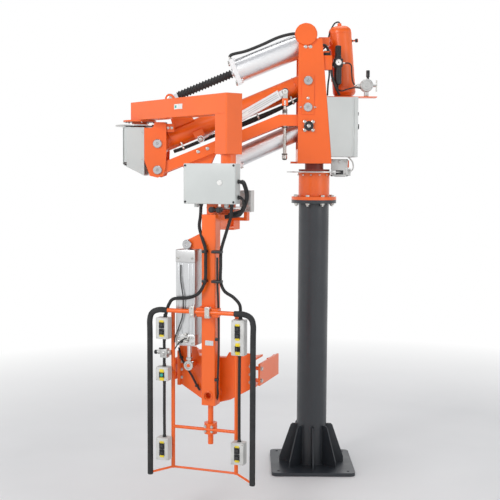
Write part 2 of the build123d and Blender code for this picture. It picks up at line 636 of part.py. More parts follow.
def handle_frame():
    r = 13.5
    left = handle_x(-1, HANDLE_HALF)
    right = handle_x(1, HANDLE_HALF)
    outer = hose([(left, HANDLE_Y, HANDLE_LOW), (left, HANDLE_Y, TOP_BAR_Z),
                  (right, HANDLE_Y, TOP_BAR_Z), (right, HANDLE_Y, HANDLE_LOW)], r, 60)
    body = outer
    for side in (-1, 1):
        inner = handle_x(side, INNER_HALF)
        edge = handle_x(side, HANDLE_HALF)
        body = joined(body, post(inner, INNER_Y, INNER_LOW, TOP_BAR_Z, 12),
                      bar((inner, INNER_Y, TOP_BAR_Z - 8), (inner, HANDLE_Y, TOP_BAR_Z), 11),
                      bar((edge, HANDLE_Y, HANDLE_LOW + 8), (inner, INNER_Y, INNER_LOW + 6), 7))
        for z in (1205, 926, 456) if side < 0 else (1235, 1123, 473):
            body = body + block(inner - 10, inner + 10, INNER_Y - 22, INNER_Y, z - 10, z + 10)
    low_left = handle_x(-1, INNER_HALF)
    low_right = handle_x(1, INNER_HALF)
    body = joined(body, bar((low_left, INNER_Y, INNER_LOW + 6), (low_right, INNER_Y, INNER_LOW + 6), 7),
                  bar((low_left, INNER_Y, 583), (low_right, INNER_Y, 583), 10))
    body = body + block(-58, 84, -400, -350, 1296, 1344)
    body = body - post(0, MAST_Y, 485, 740, 40)
    clamps = block(-94, -64, -420, -392, 1288, 1352) + block(6, 36, -420, -392, 1288, 1352)
    body = (body + clamps) - block(-46, 46, -345, -200, 1200, 1400)
    brace = block(-50, 50, -352, -345, 1290, 1350)
    body = body + brace
    save("handle_frame", TOOL * body)
    return body


def handle_grips(frame):
    sleeves = []
    for side in (-1, 1):
        x = handle_x(side, HANDLE_HALF)
        inside = x - side * 118
        path = [(x, HANDLE_Y, HANDLE_LOW - 3), (x, HANDLE_Y, TOP_BAR_Z), (inside, HANDLE_Y, TOP_BAR_Z)]
        sleeve = hose(path, 17, 60) - hose([(x, HANDLE_Y, HANDLE_LOW), path[1], path[2]], 13.5, 60) - frame
        sleeves.append(sleeve)
    save("handle_grips", *[TOOL * s for s in sleeves])


BOX_W = 80
BOX_Y0 = -424
BOX_Y1 = -358
BOXES = [("left_top", -1, 1144, 1273), ("left_mid", -1, 885, 968), ("left_low", -1, 388, 525),
         ("right_top", 1, 1073, 1284), ("right_low", 1, 408, 541)]
BUTTONS = [("left_top_up", -1, 1231), ("left_top_down", -1, 1186), ("left_mid_start", -1, 921),
           ("left_low_open", -1, 478), ("left_low_close", -1, 434),
           ("right_top_up", 1, 1235), ("right_top_down", 1, 1193), ("right_top_selector", 1, 1113),
           ("right_low_open", 1, 497), ("right_low_close", 1, 453)]
BOX_OFFSET = 246


def control_boxes():
    shells = []
    for name, side, z0, z1 in BOXES:
        x = handle_x(side, BOX_OFFSET)
        shell = rounded(x - BOX_W / 2, x + BOX_W / 2, BOX_Y0, BOX_Y1, z0, z1, 6)
        shell = shell - block(x - 37, x + 37, BOX_Y0 + 3, BOX_Y1 - 3, z0 + 3, z1 - 3)
        for label, button_side, z in BUTTONS:
            if button_side == side and z0 < z < z1:
                shell = shell - bar((x, BOX_Y0 - 1, z), (x, BOX_Y0 + 24, z), 11)
        shells.append(TOOL * shell)
    x = handle_x(-1, BOX_OFFSET)
    valve = block(x - 22, x + 22, -400, -358, 1023, 1078) + bar((x - 48, -380, 1058), (x + 34, -380, 1058),
                                                                11)
    valve = valve + block(x + 15, x + 26, -372, -338, 1033, 1063)
    valve = valve - post(handle_x(-1, INNER_HALF), INNER_Y, 1000, 1110, 12)
    save("control_boxes", *shells, TOOL * valve)


def buttons():
    for name, side, z in BUTTONS:
        x = handle_x(side, BOX_OFFSET)
        head = bar((x, BOX_Y0 - 8, z), (x, BOX_Y0 + 14, z), 10.7)
        if name.endswith("selector"):
            head = head + block(x - 3.5, x + 3.5, BOX_Y0 - 20, BOX_Y0 - 6, z - 10, z + 10)
        save(f"button_{name}", TOOL * head)


def conduits():
    """Corrugated conduits from the enclosure down the mast and round the frame."""
    runs = []
    left = handle_x(-1, BOX_OFFSET)
    right = handle_x(1, BOX_OFFSET)
    runs.append([(-100, -290, 1950), (-100, -290, 1880), (-60, -345, 1775), (-22, -366, 1690),
                 (-20, -368, 1500),
                 (-70, -386, 1420), (-195, -386, 1400), (left, -371, 1360), (left, -371, 1273)])
    runs.append([(95, -290, 1950), (95, -290, 1880), (92, -335, 1760), (78, -352, 1680), (78, -354, 1500),
                 (120, -362, 1435), (200, -369, 1395), (right, -370, 1350), (right, -370, 1284)])
    solids = [hose(points, 10, 38) for points in runs]
    for x, z0, z1 in ((left, 1078, 1144), (left, 968, 1023), (left, 525, 885), (right, 541, 1073)):
        solids.append(post(x, -385, z0, z1, 9))
    save("control_conduits", *[TOOL * s for s in solids])


# ---------------------------------------------------------------- tilting gripper
def tilt_cylinder():
    x, y = TILT_CYL_X, TILT_CYL_Y
    body = rounded(x - 64, x + 64, y - 66, y + 66, 1103, 1690, 8) - post(x, y, 1130, 1660, 55)
    eye = pin(x, TILT_TOP_Z, y - 11.5, y + 11.5, 30) + block(x - 26, x + 26, y - 11.5, y + 11.5, 1690,
                                                             TILT_TOP_Z)
    body = body + eye - pin(x, TILT_TOP_Z, y - 13, y + 13, 14 + RUNNING)
    body = body - post(x, y, 1100, 1131, 14 + RUNNING)
    save("tilt_cylinder_barrel", TOOL * body)
    rod = joined(post(x, y, TILT_EYE_Z + 20, 1480, 14), post(x, y, 1450, 1480, 54.9),
                 pin(x, TILT_EYE_Z, y - 14, y + 14, 30), pin(x, TILT_EYE_Z, y - 20, y + 20, 16))
    save("tilt_cylinder_rod", TOOL * rod)


def gripper():
    y0 = YOKE_Y
    y1 = YOKE_Y + YOKE_T
    outline = [(-245, 1070), (-245, 835), (-95, 745), (0, 722), (100, 752), (245, 835), (245, 1050),
               (90, 1050),
               (70, 1015), (-110, 1015), (-130, 1070)]
    body = plate(outline, y0, y1)
    boss = bar((0, y0 - 34, TILT_Z), (0, y0, TILT_Z), 38) + bar((0, -342, TILT_Z), (0, y0, TILT_Z), TILT_R)
    boss = boss - bar((0, -343, TILT_Z), (0, -300, TILT_Z), TILT_R - 6)
    body = joined(body, boss, bar((TILT_CYL_X, -278, TILT_EYE_Z), (TILT_CYL_X, y0, TILT_EYE_Z), 20))
    rim = [(-245, y0), (245, y0), (245, -20), (-245, -20)]
    for z in (1000, 830):
        body = joined(body, flat(rim, z, z + 12))
    for x0, x1 in ((-245, -215), (215, 245)):
        body = joined(body, block(x0, x1, y0 + 5, -160, 842, 1000))
    body = body - post(0, DRUM_Y, 700, 1100, DRUM_R + 14)
    for z in (880, 955):
        body = body - bar((-300, -185, z), (300, -185, z), 12 + RUNNING)
    save("gripper_frame", TOOL * body)
    barrel = joined(bar((-150, -185, 917.5), (60, -185, 917.5), 22), block(-60, 20, -207, -185, 905, 930))
    save("clamp_cylinder", TOOL * (barrel - bar((-140, -185, 917.5), (61, -185, 917.5), 16)))
    for name, side in (("left_jaw", -1), ("right_jaw", 1)):
        inner = side * (DRUM_R + 16)
        x0, x1 = sorted((inner, inner + side * 12))
        arm_plate = block(x0, x1, -205, DRUM_Y + 70, JAW_Z0, JAW_Z1)
        for z in (880, 955):
            arm_plate = arm_plate + bar((side * 165, -185, z), (inner + side, -185, z), 12)
        pad0, pad1 = sorted((side * (DRUM_R - 12), inner))
        pad = block(pad0, pad1, DRUM_Y - 70, DRUM_Y + 70, JAW_Z0 + 8, JAW_Z1 - 8)
        pad = pad - post(0, DRUM_Y, 800, 1000, DRUM_R)
        save(name, TOOL * (arm_plate + pad))


column()
column_bolts()
turret()
head_frame()
head_parts()
air_tank()
air_preparation()
enclosure()
slew_caliper()
head_hoses()
main_arm()
lower_link()
cylinders()
wrist()
forearm()
tool_mast()
tool_enclosure()
handle_grips(handle_frame())
control_boxes()
buttons()
conduits()
tilt_cylinder()
gripper()
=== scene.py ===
import json
import math

import bmesh
import bpy
from mathutils import Matrix, Vector


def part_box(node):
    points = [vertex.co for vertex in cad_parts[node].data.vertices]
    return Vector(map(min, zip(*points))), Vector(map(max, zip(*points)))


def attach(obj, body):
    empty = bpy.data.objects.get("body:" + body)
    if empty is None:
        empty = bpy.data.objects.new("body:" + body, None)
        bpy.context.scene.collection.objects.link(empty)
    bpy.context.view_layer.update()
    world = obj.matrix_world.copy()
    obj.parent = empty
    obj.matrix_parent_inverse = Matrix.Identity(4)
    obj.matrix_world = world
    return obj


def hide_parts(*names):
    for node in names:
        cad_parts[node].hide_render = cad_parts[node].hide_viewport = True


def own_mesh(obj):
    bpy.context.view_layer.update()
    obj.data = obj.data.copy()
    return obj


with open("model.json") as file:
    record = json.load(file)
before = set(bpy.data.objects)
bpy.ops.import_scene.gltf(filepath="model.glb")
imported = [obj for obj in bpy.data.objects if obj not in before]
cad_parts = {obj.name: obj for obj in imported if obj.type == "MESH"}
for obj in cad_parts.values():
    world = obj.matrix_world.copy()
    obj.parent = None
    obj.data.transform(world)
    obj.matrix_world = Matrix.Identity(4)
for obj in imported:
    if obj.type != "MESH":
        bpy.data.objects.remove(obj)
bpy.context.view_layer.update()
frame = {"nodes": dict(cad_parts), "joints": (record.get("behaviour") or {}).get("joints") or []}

NODES = frame["nodes"]
JOINTS = {joint["name"]: joint for joint in frame["joints"]}
MM = 0.001

# ---------------------------------------------------------------- places, from the frame
ARM_PIVOT = Vector(JOINTS["arm_lift"]["pos_m"])
LINK_PIVOT = Vector(JOINTS["link_lift"]["pos_m"])
WRIST_PIVOT = Vector(JOINTS["wrist_level"]["pos_m"])
UPPER_PIVOT = Vector(JOINTS["upper_barrel_swing"]["pos_m"])
LOWER_PIVOT = Vector(JOINTS["lower_barrel_swing"]["pos_m"])
LOCK_PIVOT = Vector(JOINTS["lock_barrel_swing"]["pos_m"])
FOREARM_PIVOT = Vector(JOINTS["forearm_swing"]["pos_m"])
LEG_AXIS = Vector(JOINTS["tool_swivel"]["pos_m"])
PIVOT_GAP = ARM_PIVOT - LINK_PIVOT
TOOL_BACK = Vector(JOINTS["press_left_top_up"]["axis"])
TOOL_RIGHT = Vector((TOOL_BACK.y, -TOOL_BACK.x, 0))
UP = Vector((0, 0, 1))
ACROSS = Vector((0, 1, 0))
FRONT = -ACROSS
SIDE_Y = 150 * MM


def axes_matrix(origin, x_axis, z_axis):
    """Placement whose X and Z run along the given directions."""
    x = Vector(x_axis).normalized()
    z = Vector(z_axis).normalized()
    y = z.cross(x)
    turn = Matrix((x, y, z)).transposed().to_4x4()
    return Matrix.Translation(Vector(origin)) @ turn


def along(origin, z_axis):
    """Placement whose Z runs along a direction."""
    z = Vector(z_axis).normalized()
    x = Vector((1, 0, 0)) if abs(z.x) < 0.8 else Vector((0, 0, 1))
    x = (x - z * x.dot(z)).normalized()
    return axes_matrix(origin, x, z)




def side_frame(origin, x_axis):
    """Frame with X along a side-view direction, Y across the robot and Z upwards."""
    x = Vector(x_axis).normalized()
    turn = Matrix((x, ACROSS, ACROSS.cross(x))).transposed().to_4x4()
    return Matrix.Translation(Vector(origin)) @ turn


ARM = side_frame(ARM_PIVOT, WRIST_PIVOT - ARM_PIVOT)
UPPER = side_frame(UPPER_PIVOT, JOINTS["upper_rod_stroke"]["axis"])
LOWER = side_frame(LOWER_PIVOT, JOINTS["lower_rod_stroke"]["axis"])
LOCK = side_frame(LOCK_PIVOT, JOINTS["lock_rod_stroke"]["axis"])
TOOL = axes_matrix((LEG_AXIS.x, LEG_AXIS.y, 0), TOOL_RIGHT, UP)
IDENTITY = Matrix.Identity(4)


def mm(x, y, z):
    """A point given in millimetres in the shared frame."""
    return Vector((x, y, z)) * MM


def at(place, x, y, z):
    """A point given in millimetres in a placement's own axes."""
    return place @ Vector((x * MM, y * MM, z * MM))


def tool_face(x, y, z):
    """Placement on the front of the tool, its Z pointing at the operator."""
    return along(at(TOOL, x, y, z), -TOOL_BACK)


# ---------------------------------------------------------------- mesh tools
def lathe(bm, place, profile, steps=32):
    """Revolve (radius, height) points, in mm, round the placement's Z."""
    rings = []
    for r, z in profile:
        if r == 0:
            rings.append([bm.verts.new(at(place, 0, 0, z))])
            continue
        ring = []
        for i in range(steps):
            angle = math.tau * i / steps
            ring.append(bm.verts.new(at(place, r * math.cos(angle), r * math.sin(angle), z)))
        rings.append(ring)
    for low, high in zip(rings, rings[1:]):
        for i in range(steps):
            j = (i + 1) % steps
            if len(low) == 1 and len(high) == 1:
                continue
            if len(low) == 1:
                bm.faces.new((low[0], high[j], high[i]))
            elif len(high) == 1:
                bm.faces.new((low[i], low[j], high[0]))
            else:
                bm.faces.new((low[i], low[j], high[j], high[i]))


def drum(radius, height):
    """Profile of a plain turned disc or rod."""
    return [(0, 0), (radius, 0), (radius, height), (0, height)]


def capped(radius, shoulder, top_radius, height):
    """Profile of a turned stud with a chamfered end."""
    return [(0, 0), (radius, 0), (radius, shoulder), (top_radius, height), (0, height)]


def brick(bm, place, low, high, edge=1.5, segments=2):
    """Box between two corners, in mm, with softened edges."""
    centre = [(a + b) / 2 for a, b in zip(low, high)]
    size = [abs(b - a) * MM for a, b in zip(low, high)]
    local = place @ Matrix.Translation(Vector(centre) * MM) @ Matrix.Diagonal((*size, 1))
    made = bmesh.ops.create_cube(bm, size=1, matrix=local)
    edges = {e for v in made["verts"] for e in v.link_edges}
    if edge:
        bmesh.ops.bevel(bm, geom=list(edges), offset=edge * MM, segments=segments, affect="EDGES",
                profile=0.5)


def smooth_line(points, gap):
    """Evenly spaced points, in metres, on a smooth curve through the given ones."""
    ends = [points[0] * 2 - points[1], *points, points[-1] * 2 - points[-2]]
    line = []
    for a, b, c, d in zip(ends, ends[1:], ends[2:], ends[3:]):
        steps = max(2, int((c - b).length / gap))
        for i in range(steps):
            t = i / steps
            line.append(0.5 * ((2 * b) + (c - a) * t + (2 * a - 5 * b + 4 * c - d) * t ** 2
                               + (3 * b - a - 3 * c + d) * t ** 3))
    line.append(points[-1].copy())
    return line


def tube(bm, line, radius, sides=12, closed=False):
    """Tube along points in metres; radius in mm, or a function of the distance run in mm."""
    rings = []
    run = 0.0
    tangent = (line[1] - line[0]).normalized()
    side = along(line[0], tangent).to_3x3().col[0]
    count = len(line)
    for i, point in enumerate(line):
        before = line[(i - 1) % count] if closed else line[max(i - 1, 0)]
        after = line[(i + 1) % count] if closed else line[min(i + 1, count - 1)]
        tangent = (after - before).normalized()
        side = (side - tangent * side.dot(tangent)).normalized()
        other = tangent.cross(side)
        if i:
            run += (point - line[i - 1]).length / MM
        r = (radius(run) if callable(radius) else radius) * MM
        rings.append([bm.verts.new(point + side * (r * math.cos(math.tau * k / sides))
                                   + other * (r * math.sin(math.tau * k / sides)))
                      for k in range(sides)])
    pairs = list(zip(rings, rings[1:]))
    if closed:
        pairs.append((rings[-1], rings[0]))
    for low, high in pairs:
        for k in range(sides):
            n = (k + 1) % sides
            bm.faces.new((low[k], low[n], high[n], high[k]))
    if not closed:
        bm.faces.new(list(reversed(rings[0])))
        bm.faces.new(rings[-1])


def ridged(radius, pitch, depth):
    """Radius of a corrugated hose at a distance along it."""
    return lambda run: radius - depth * (0.5 + 0.5 * math.cos(math.tau * run / pitch)) ** 1.6


def hose(bm, place, points, radius, sides, gap):
    """Smooth hose through points in mm; gap is the spacing of its rings."""
    tube(bm, smooth_line([at(place, *p) for p in points], gap * MM), radius, sides)


def corrugated(bm, place, points, radius, pitch, depth, sides=14):
    """Ridged conduit through points in mm."""
    line = smooth_line([at(place, *p) for p in points], pitch * MM / 6)
    tube(bm, line, ridged(radius, pitch, depth), sides)


def bead(bm, place, radius, thick=3.0, steps=72):
    """Weld bead round a ring in the placement's XY plane."""
    line = []
    for i in range(steps):
        angle = math.tau * i / steps
        line.append(at(place, radius * math.cos(angle), radius * math.sin(angle), 0))
    tube(bm, line, lambda run: thick * (1 + 0.22 * math.sin(run * 1.1)), 6, closed=True)


def seam(bm, a, b, thick=2.6):
    """Straight weld bead from a to b, in metres."""
    steps = max(4, int((b - a).length / (5 * MM)))
    line = [a.lerp(b, i / steps) for i in range(steps + 1)]
    tube(bm, line, lambda run: thick * (1 + 0.22 * math.sin(run * 1.1)), 6)


def hex_head(bm, place, across, height, base=0.0, turn=0.0):
    """Hexagon head with a chamfered top, standing on the placement's XY plane."""
    spin = place @ Matrix.Rotation(turn, 4, "Z")
    r = across / 2 / math.cos(math.pi / 6)
    lathe(bm, spin, [(0, base), (r, base), (r, base + height - 0.12 * r), (r * 0.86, base + height),
            (0, base + height)], 6)


def bolt(bm, place, size, washer=True, turn=0.2):
    """Washer and hexagon head of a metric bolt."""
    base = 0.0
    if washer:
        base = 0.16 * size
        lathe(bm, place, [(0, 0), (size * 1.05, 0), (size * 1.05, base * 0.8), (size, base), (0, base)], 28)
    hex_head(bm, place, size * 1.6, size * 0.64, base, turn)


def socket_screw(bm, place, size):
    """Cap screw with a hexagon socket."""
    r = size * 0.78
    h = size * 0.9
    lathe(bm, place, [(0, 0), (r, 0), (r, h - 0.08 * size), (r - 0.08 * size, h), (size * 0.45, h)], 24)
    lathe(bm, place, [(size * 0.45, h), (size * 0.45, h * 0.4), (0, h * 0.4)], 6)


def big_pin_end(bm, place, radius):
    """Turned pin end with a chamfered rim, a counterbore and a socket screw in it."""
    lathe(bm, place, [(7, 1), (9, 1), (9, 7), (10, 8), (radius - 3, 8), (radius, 5), (radius, 0), (0, 0),
            (0, 1), (7, 1)], 48)
    socket_screw(bm, place @ Matrix.Translation((0, 0, 1 * MM)), 8)


def piece(name, bm, body, material, slot_name=None, sharp=35, replaces=()):
    """Turn a bmesh into an object of the scene that rides on a CAD body."""
    bmesh.ops.remove_doubles(bm, verts=bm.verts, dist=1e-6)
    bmesh.ops.recalc_face_normals(bm, faces=bm.faces)
    limit = math.radians(sharp)
    for face in bm.faces:
        face.smooth = True
    for e in bm.edges:
        if len(e.link_faces) == 2:
            e.smooth = e.calc_face_angle(0) < limit
    mesh = bpy.data.meshes.new(name)
    bm.to_mesh(mesh)
    bm.free()
    obj = bpy.data.objects.new(name, mesh)
    bpy.context.scene.collection.objects.link(obj)
    mesh.materials.append(material)
    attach(obj, body)
    if slot_name is None:
        slot_name = SLOTS[material]
    if replaces:
        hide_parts(*replaces)
    return obj


# ---------------------------------------------------------------- materials
class Shader:
    """Small helper that builds one procedural material."""

    def __init__(self, name):
        self.material = bpy.data.materials.new(name)
        self.material.use_nodes = True
        self.tree = self.material.node_tree
        self.bsdf = self.tree.nodes["Principled BSDF"]
        self.coords = self.tree.nodes.new("ShaderNodeTexCoord").outputs["Object"]

    def link(self, source, target):
        self.tree.links.new(source, target)

    def node(self, kind, **values):
        made = self.tree.nodes.new(kind)
        for key, value in values.items():
            if hasattr(made, key):
                setattr(made, key, value)
            else:
                made.inputs[key].default_value = value
        return made

    def noise(self, scale, detail=3.0, stretch=(1, 1, 1)):
        mapping = self.node("ShaderNodeMapping")
        mapping.inputs["Scale"].default_value = stretch
        self.link(self.coords, mapping.inputs["Vector"])
        made = self.node("ShaderNodeTexNoise")
        made.inputs["Scale"].default_value = scale
        made.inputs["Detail"].default_value = detail
        self.link(mapping.outputs[0], made.inputs["Vector"])
        return made.outputs["Fac"]

    def ramp(self, source, stops):
        made = self.node("ShaderNodeValToRGB")
        ramp = made.color_ramp
        while len(ramp.elements) < len(stops):
            ramp.elements.new(0.5)
        for element, (place, colour) in zip(ramp.elements, stops):
            element.position = place
            element.color = (*colour, 1)
        self.link(source, made.inputs[0])
        return made.outputs[0]

    def remap(self, source, low, high, out_low, out_high):
        made = self.node("ShaderNodeMapRange")
        for key, value in (("From Min", low), ("From Max", high), ("To Min", out_low),
                ("To Max", out_high)):
            made.inputs[key].default_value = value
        self.link(source, made.inputs["Value"])
        return made.outputs[0]

    def mix(self, factor, a, b):
        made = self.node("ShaderNodeMix", data_type="RGBA")
        for value, socket in ((factor, made.inputs[0]), (a, made.inputs[6]), (b, made.inputs[7])):
            if isinstance(value, bpy.types.NodeSocket):
                self.link(value, socket)
            elif isinstance(value, (int, float)):
                socket.default_value = value
            else:
                socket.default_value = (*value, 1)
        return made.outputs[2]

    def bump(self, sources, edge_radius):
        """Chain of bumps: (height, strength, distance in mm), on softened edges."""
        normal = None
        if edge_radius:
            soft = self.node("ShaderNodeBevel", samples=3)
            soft.inputs["Radius"].default_value = edge_radius * MM
            normal = soft.outputs[0]
        for height, strength, distance in sources:
            made = self.node("ShaderNodeBump")
            made.inputs["Strength"].default_value = strength
            made.inputs["Distance"].default_value = distance * MM
            self.link(height, made.inputs["Height"])
            if normal:
                self.link(normal, made.inputs["Normal"])
            normal = made.outputs[0]
        self.link(normal, self.bsdf.inputs["Normal"])

    def edges(self, radius):
        """1 along convex and concave edges, 0 on open faces."""
        soft = self.node("ShaderNodeBevel", samples=3)
        soft.inputs["Radius"].default_value = radius * MM
        flat = self.node("ShaderNodeNewGeometry").outputs["Normal"]
        dot = self.node("ShaderNodeVectorMath", operation="DOT_PRODUCT")
        self.link(soft.outputs[0], dot.inputs[0])
        self.link(flat, dot.inputs[1])
        return self.remap(dot.outputs["Value"], 0.995, 0.90, 0.0, 1.0)

    def plain(self, **values):
        for key, value in values.items():
            self.bsdf.inputs[key].default_value = value


def tint(colour, factor):
    return tuple(min(1.0, c * factor) for c in colour)


def paint(name, colour, roughness, edge_radius=1.6, wear=(0.9, 0.5, 0.3), wear_amount=0.35, peel=0.10):
    """Powder coat: slight mottling, orange peel, rubbed edges and settled dust."""
    s = Shader(name)
    mottled = s.ramp(s.noise(2.3, 4.0), [(0.3, tint(colour, 0.90)), (0.7, tint(colour, 1.04))])
    speck = s.remap(s.noise(160.0, 2.0), 0.62, 0.80, 0.0, 0.20)
    dusty = s.mix(speck, mottled, tint(colour, 0.80))
    broken = s.node("ShaderNodeMath", operation="MULTIPLY")
    s.link(s.edges(1.3), broken.inputs[0])
    s.link(s.remap(s.noise(55.0, 4.0), 0.50, 0.72, 0.0, wear_amount), broken.inputs[1])
    s.link(s.mix(broken.outputs[0], dusty, wear), s.bsdf.inputs["Base Color"])
    s.link(s.remap(s.noise(7.0, 4.0), 0.3, 0.7, roughness * 0.85, roughness * 1.25),
           s.bsdf.inputs["Roughness"])
    s.bump([(s.noise(420.0, 2.0), peel, 0.5), (s.noise(24.0, 3.0), peel * 0.5, 1.2)], edge_radius)
    s.plain(**{"Specular IOR Level": 0.5, "Coat Weight": 0.25, "Coat Roughness": 0.22})
    return s.material


def metal(name, colour, roughness, stretch=(1, 1, 1), grain=260.0, strength=0.12, edge_radius=0.8,
        metallic=1.0, stain=0.82):
    """Bare metal with grain that can be drawn out in one direction."""
    s = Shader(name)
    cloud = s.ramp(s.noise(6.0, 5.0), [(0.3, tint(colour, stain)), (0.65, colour)])
    lines = s.noise(grain, 3.0, stretch)
    s.link(s.mix(s.remap(lines, 0.45, 0.75, 0.0, 0.35), cloud, tint(colour, 0.72)),
           s.bsdf.inputs["Base Color"])
    s.link(s.remap(lines, 0.3, 0.7, roughness * 0.75, roughness * 1.3), s.bsdf.inputs["Roughness"])
    s.bump([(lines, strength, 0.3)], edge_radius)
    s.plain(Metallic=metallic)
    return s.material


def ground_disc(name, centre, colour):
    """Steel disc ground in circles round its centre, with a worn brake track."""
    s = Shader(name)
    shift = s.node("ShaderNodeVectorMath", operation="SUBTRACT")
    s.link(s.coords, shift.inputs[0])
    shift.inputs[1].default_value = centre
    length = s.node("ShaderNodeVectorMath", operation="LENGTH")
    s.link(shift.outputs[0], length.inputs[0])
    rings = s.node("ShaderNodeTexNoise", noise_dimensions="1D")
    rings.inputs["Scale"].default_value = 900.0
    s.link(length.outputs["Value"], rings.inputs["W"])
    track = s.remap(length.outputs["Value"], 0.12, 0.15, 0.0, 1.0)
    base = s.mix(track, tint(colour, 0.75), colour)
    s.link(s.mix(s.remap(s.noise(30.0, 4.0), 0.45, 0.8, 0.0, 0.5), base, tint(colour, 0.6)),
           s.bsdf.inputs["Base Color"])
    s.link(s.remap(rings.outputs["Fac"], 0.3, 0.7, 0.22, 0.42), s.bsdf.inputs["Roughness"])
    s.bump([(rings.outputs["Fac"], 0.25, 0.2)], 0.6)
    s.plain(Metallic=1.0)
    return s.material


def polymer(name, colour, roughness, grain=500.0, strength=0.12, edge_radius=0.8, scuff=1.35, coat=0.0):
    """Moulded plastic or rubber with a fine grain and light scuffs."""
    s = Shader(name)
    base = s.ramp(s.noise(14.0, 4.0), [(0.35, tint(colour, 0.88)), (0.7, tint(colour, 1.08))])
    marks = s.remap(s.noise(38.0, 5.0, (1, 1, 3)), 0.60, 0.78, 0.0, 0.45)
    s.link(s.mix(marks, base, tint(colour, scuff)), s.bsdf.inputs["Base Color"])
    s.link(s.remap(s.noise(22.0, 3.0), 0.3, 0.7, roughness * 0.85, min(1.0, roughness * 1.15)),
           s.bsdf.inputs["Roughness"])
    s.bump([(s.noise(grain, 2.0), strength, 0.4)], edge_radius)
    s.plain(**{"Coat Weight": coat, "Coat Roughness": 0.15})
    return s.material


ORANGE_RGB = (0.90, 0.130, 0.004)
ORANGE = paint("orange_paint", ORANGE_RGB, 0.33, wear=(0.95, 0.42, 0.22))
DARK = paint("anthracite_paint", (0.026, 0.031, 0.038), 0.42, wear=(0.20, 0.21, 0.22), wear_amount=0.5)
# Painted shade: the orange paint darkened to dark red, used for the slew shaft where it sits in shade
SHADED_ORANGE = paint("shaded_orange_paint", (0.27, 0.03, 0.012), 0.5)
GREY_PAINT = paint("light_grey_paint", (0.56, 0.585, 0.575), 0.42, wear=(0.75, 0.75, 0.74), peel=0.16)
GREY_PLASTIC = polymer("light_grey_plastic", (0.60, 0.60, 0.58), 0.45, scuff=0.82)
ZINC = metal("zinc_plate", (0.66, 0.65, 0.62), 0.30, grain=180.0)
STEEL = metal("turned_steel", (0.58, 0.58, 0.59), 0.24, (1, 1, 4), 300.0)
OILED = metal("oiled_thread", (0.17, 0.15, 0.14), 0.34, grain=200.0)
CHROME = metal("chromed_rod", (0.78, 0.78, 0.80), 0.09, strength=0.03)
CAST = metal("cast_aluminium", (0.62, 0.62, 0.61), 0.46, grain=620.0, strength=0.45, edge_radius=1.2)
ALU = metal("polished_barrel", (0.86, 0.86, 0.87), 0.36, (1, 26, 26), 24.0, 0.05, 1.0, stain=0.93)
ALU_UP = metal("anodised_profile", (0.66, 0.67, 0.68), 0.33, (26, 26, 1), 24.0, 0.06, 1.2, stain=0.93)
CAP_ALU = metal("cylinder_cap_casting", (0.70, 0.70, 0.70), 0.36, grain=420.0, strength=0.25,
        edge_radius=1.2)
BLACK = polymer("black_plastic", (0.018, 0.018, 0.020), 0.40)
RUBBER = polymer("black_rubber", (0.020, 0.020, 0.021), 0.62, 700.0, 0.25)
FOAM = polymer("foam_grip", (0.026, 0.027, 0.028), 0.82, 320.0, 0.5, scuff=1.7)
YELLOW = polymer("yellow_legend", (0.80, 0.62, 0.02), 0.38, scuff=0.9)
GLOSS_BLACK = polymer("gloss_black_button", (0.012, 0.012, 0.013), 0.16, coat=0.6)
GREEN = polymer("green_button", (0.01, 0.36, 0.27), 0.18, coat=0.6)
WHITE = polymer("white_plastic", (0.80, 0.80, 0.78), 0.32, scuff=0.9)
GLASS_WHITE = polymer("dial_white", (0.86, 0.86, 0.84), 0.35, scuff=0.95)

SLOTS = {}
for slot, materials in {"aluminium": (ALU_UP, CAP_ALU, CAST,), "black_plastic": (BLACK, RUBBER,),
        "dark_paint": (DARK,), "black_rubber": (FOAM,), "gauge": (GLASS_WHITE,),
        "button_black": (GREEN, YELLOW,), "grey_paint": (GREY_PAINT,),
        "grey_plastic": (GREY_PLASTIC, WHITE,), "plated_steel": (OILED, STEEL, ZINC,),
        "orange_paint": (ORANGE,),}.items():
    SLOTS.update({material: slot for material in materials})

NODE_MATERIALS = {DARK: ("column",), ORANGE: ("turret_housing", "head_frame", "air_tank", "main_arm",
        "lower_link", "wrist_frame", "forearm_beam", "tool_mast", "handle_frame", "gripper_frame",
        "left_jaw", "right_jaw"), SHADED_ORANGE: ("slew_shaft",), GREY_PAINT: ("head_enclosure", "enclosure_door",
        "tool_enclosure", "wrist_cover"), GREY_PLASTIC: ("control_boxes",),
        ALU: ("upper_cylinder_barrel", "lower_cylinder_barrel", "lock_cylinder_barrel"),
        ALU_UP: ("tilt_cylinder_barrel", "clamp_cylinder"), CAST: ("slew_brake_caliper",
        "wrist_brake_caliper", "tool_brake_caliper", "pilot_valve", "valve_lever"),
        CHROME: ("upper_cylinder_rod", "lower_cylinder_rod", "lock_cylinder_rod", "tilt_cylinder_rod"),
        STEEL: ("head_pins", "cylinder_pins", "wrist_pins", "slew_bearings"),
        ZINC: ("lock_spindle", "column_bolts"), BLACK: ("filter_regulator", "regulator_knob", "arm_hoses",
        "control_conduits", "head_hoses"), RUBBER: ("upper_bellows",), FOAM: ("handle_grips",),
        GLASS_WHITE: ("pressure_gauge",),}


def paint_cad_nodes():
    chosen = {node: material for material, nodes in NODE_MATERIALS.items() for node in nodes}
    discs = {"slew_brake_disc": (0.0, 0.0), "forearm_brake_disc": FOREARM_PIVOT[:2],
            "tool_brake_disc": LEG_AXIS[:2]}
    for node, centre in discs.items():
        low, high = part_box(node)
        chosen[node] = ground_disc(f"ground_{node}", (centre[0], centre[1], (low[2] + high[2]) / 2),
                (0.55, 0.54, 0.53))
    for node, obj in NODES.items():
        material = chosen.get(node)
        if node.startswith("button_"):
            material = GREEN if node == "button_left_mid_start" else GLOSS_BLACK
        if not obj.material_slots:
            obj.data.materials.append(material)
        for slot in obj.material_slots:
            slot.material = material


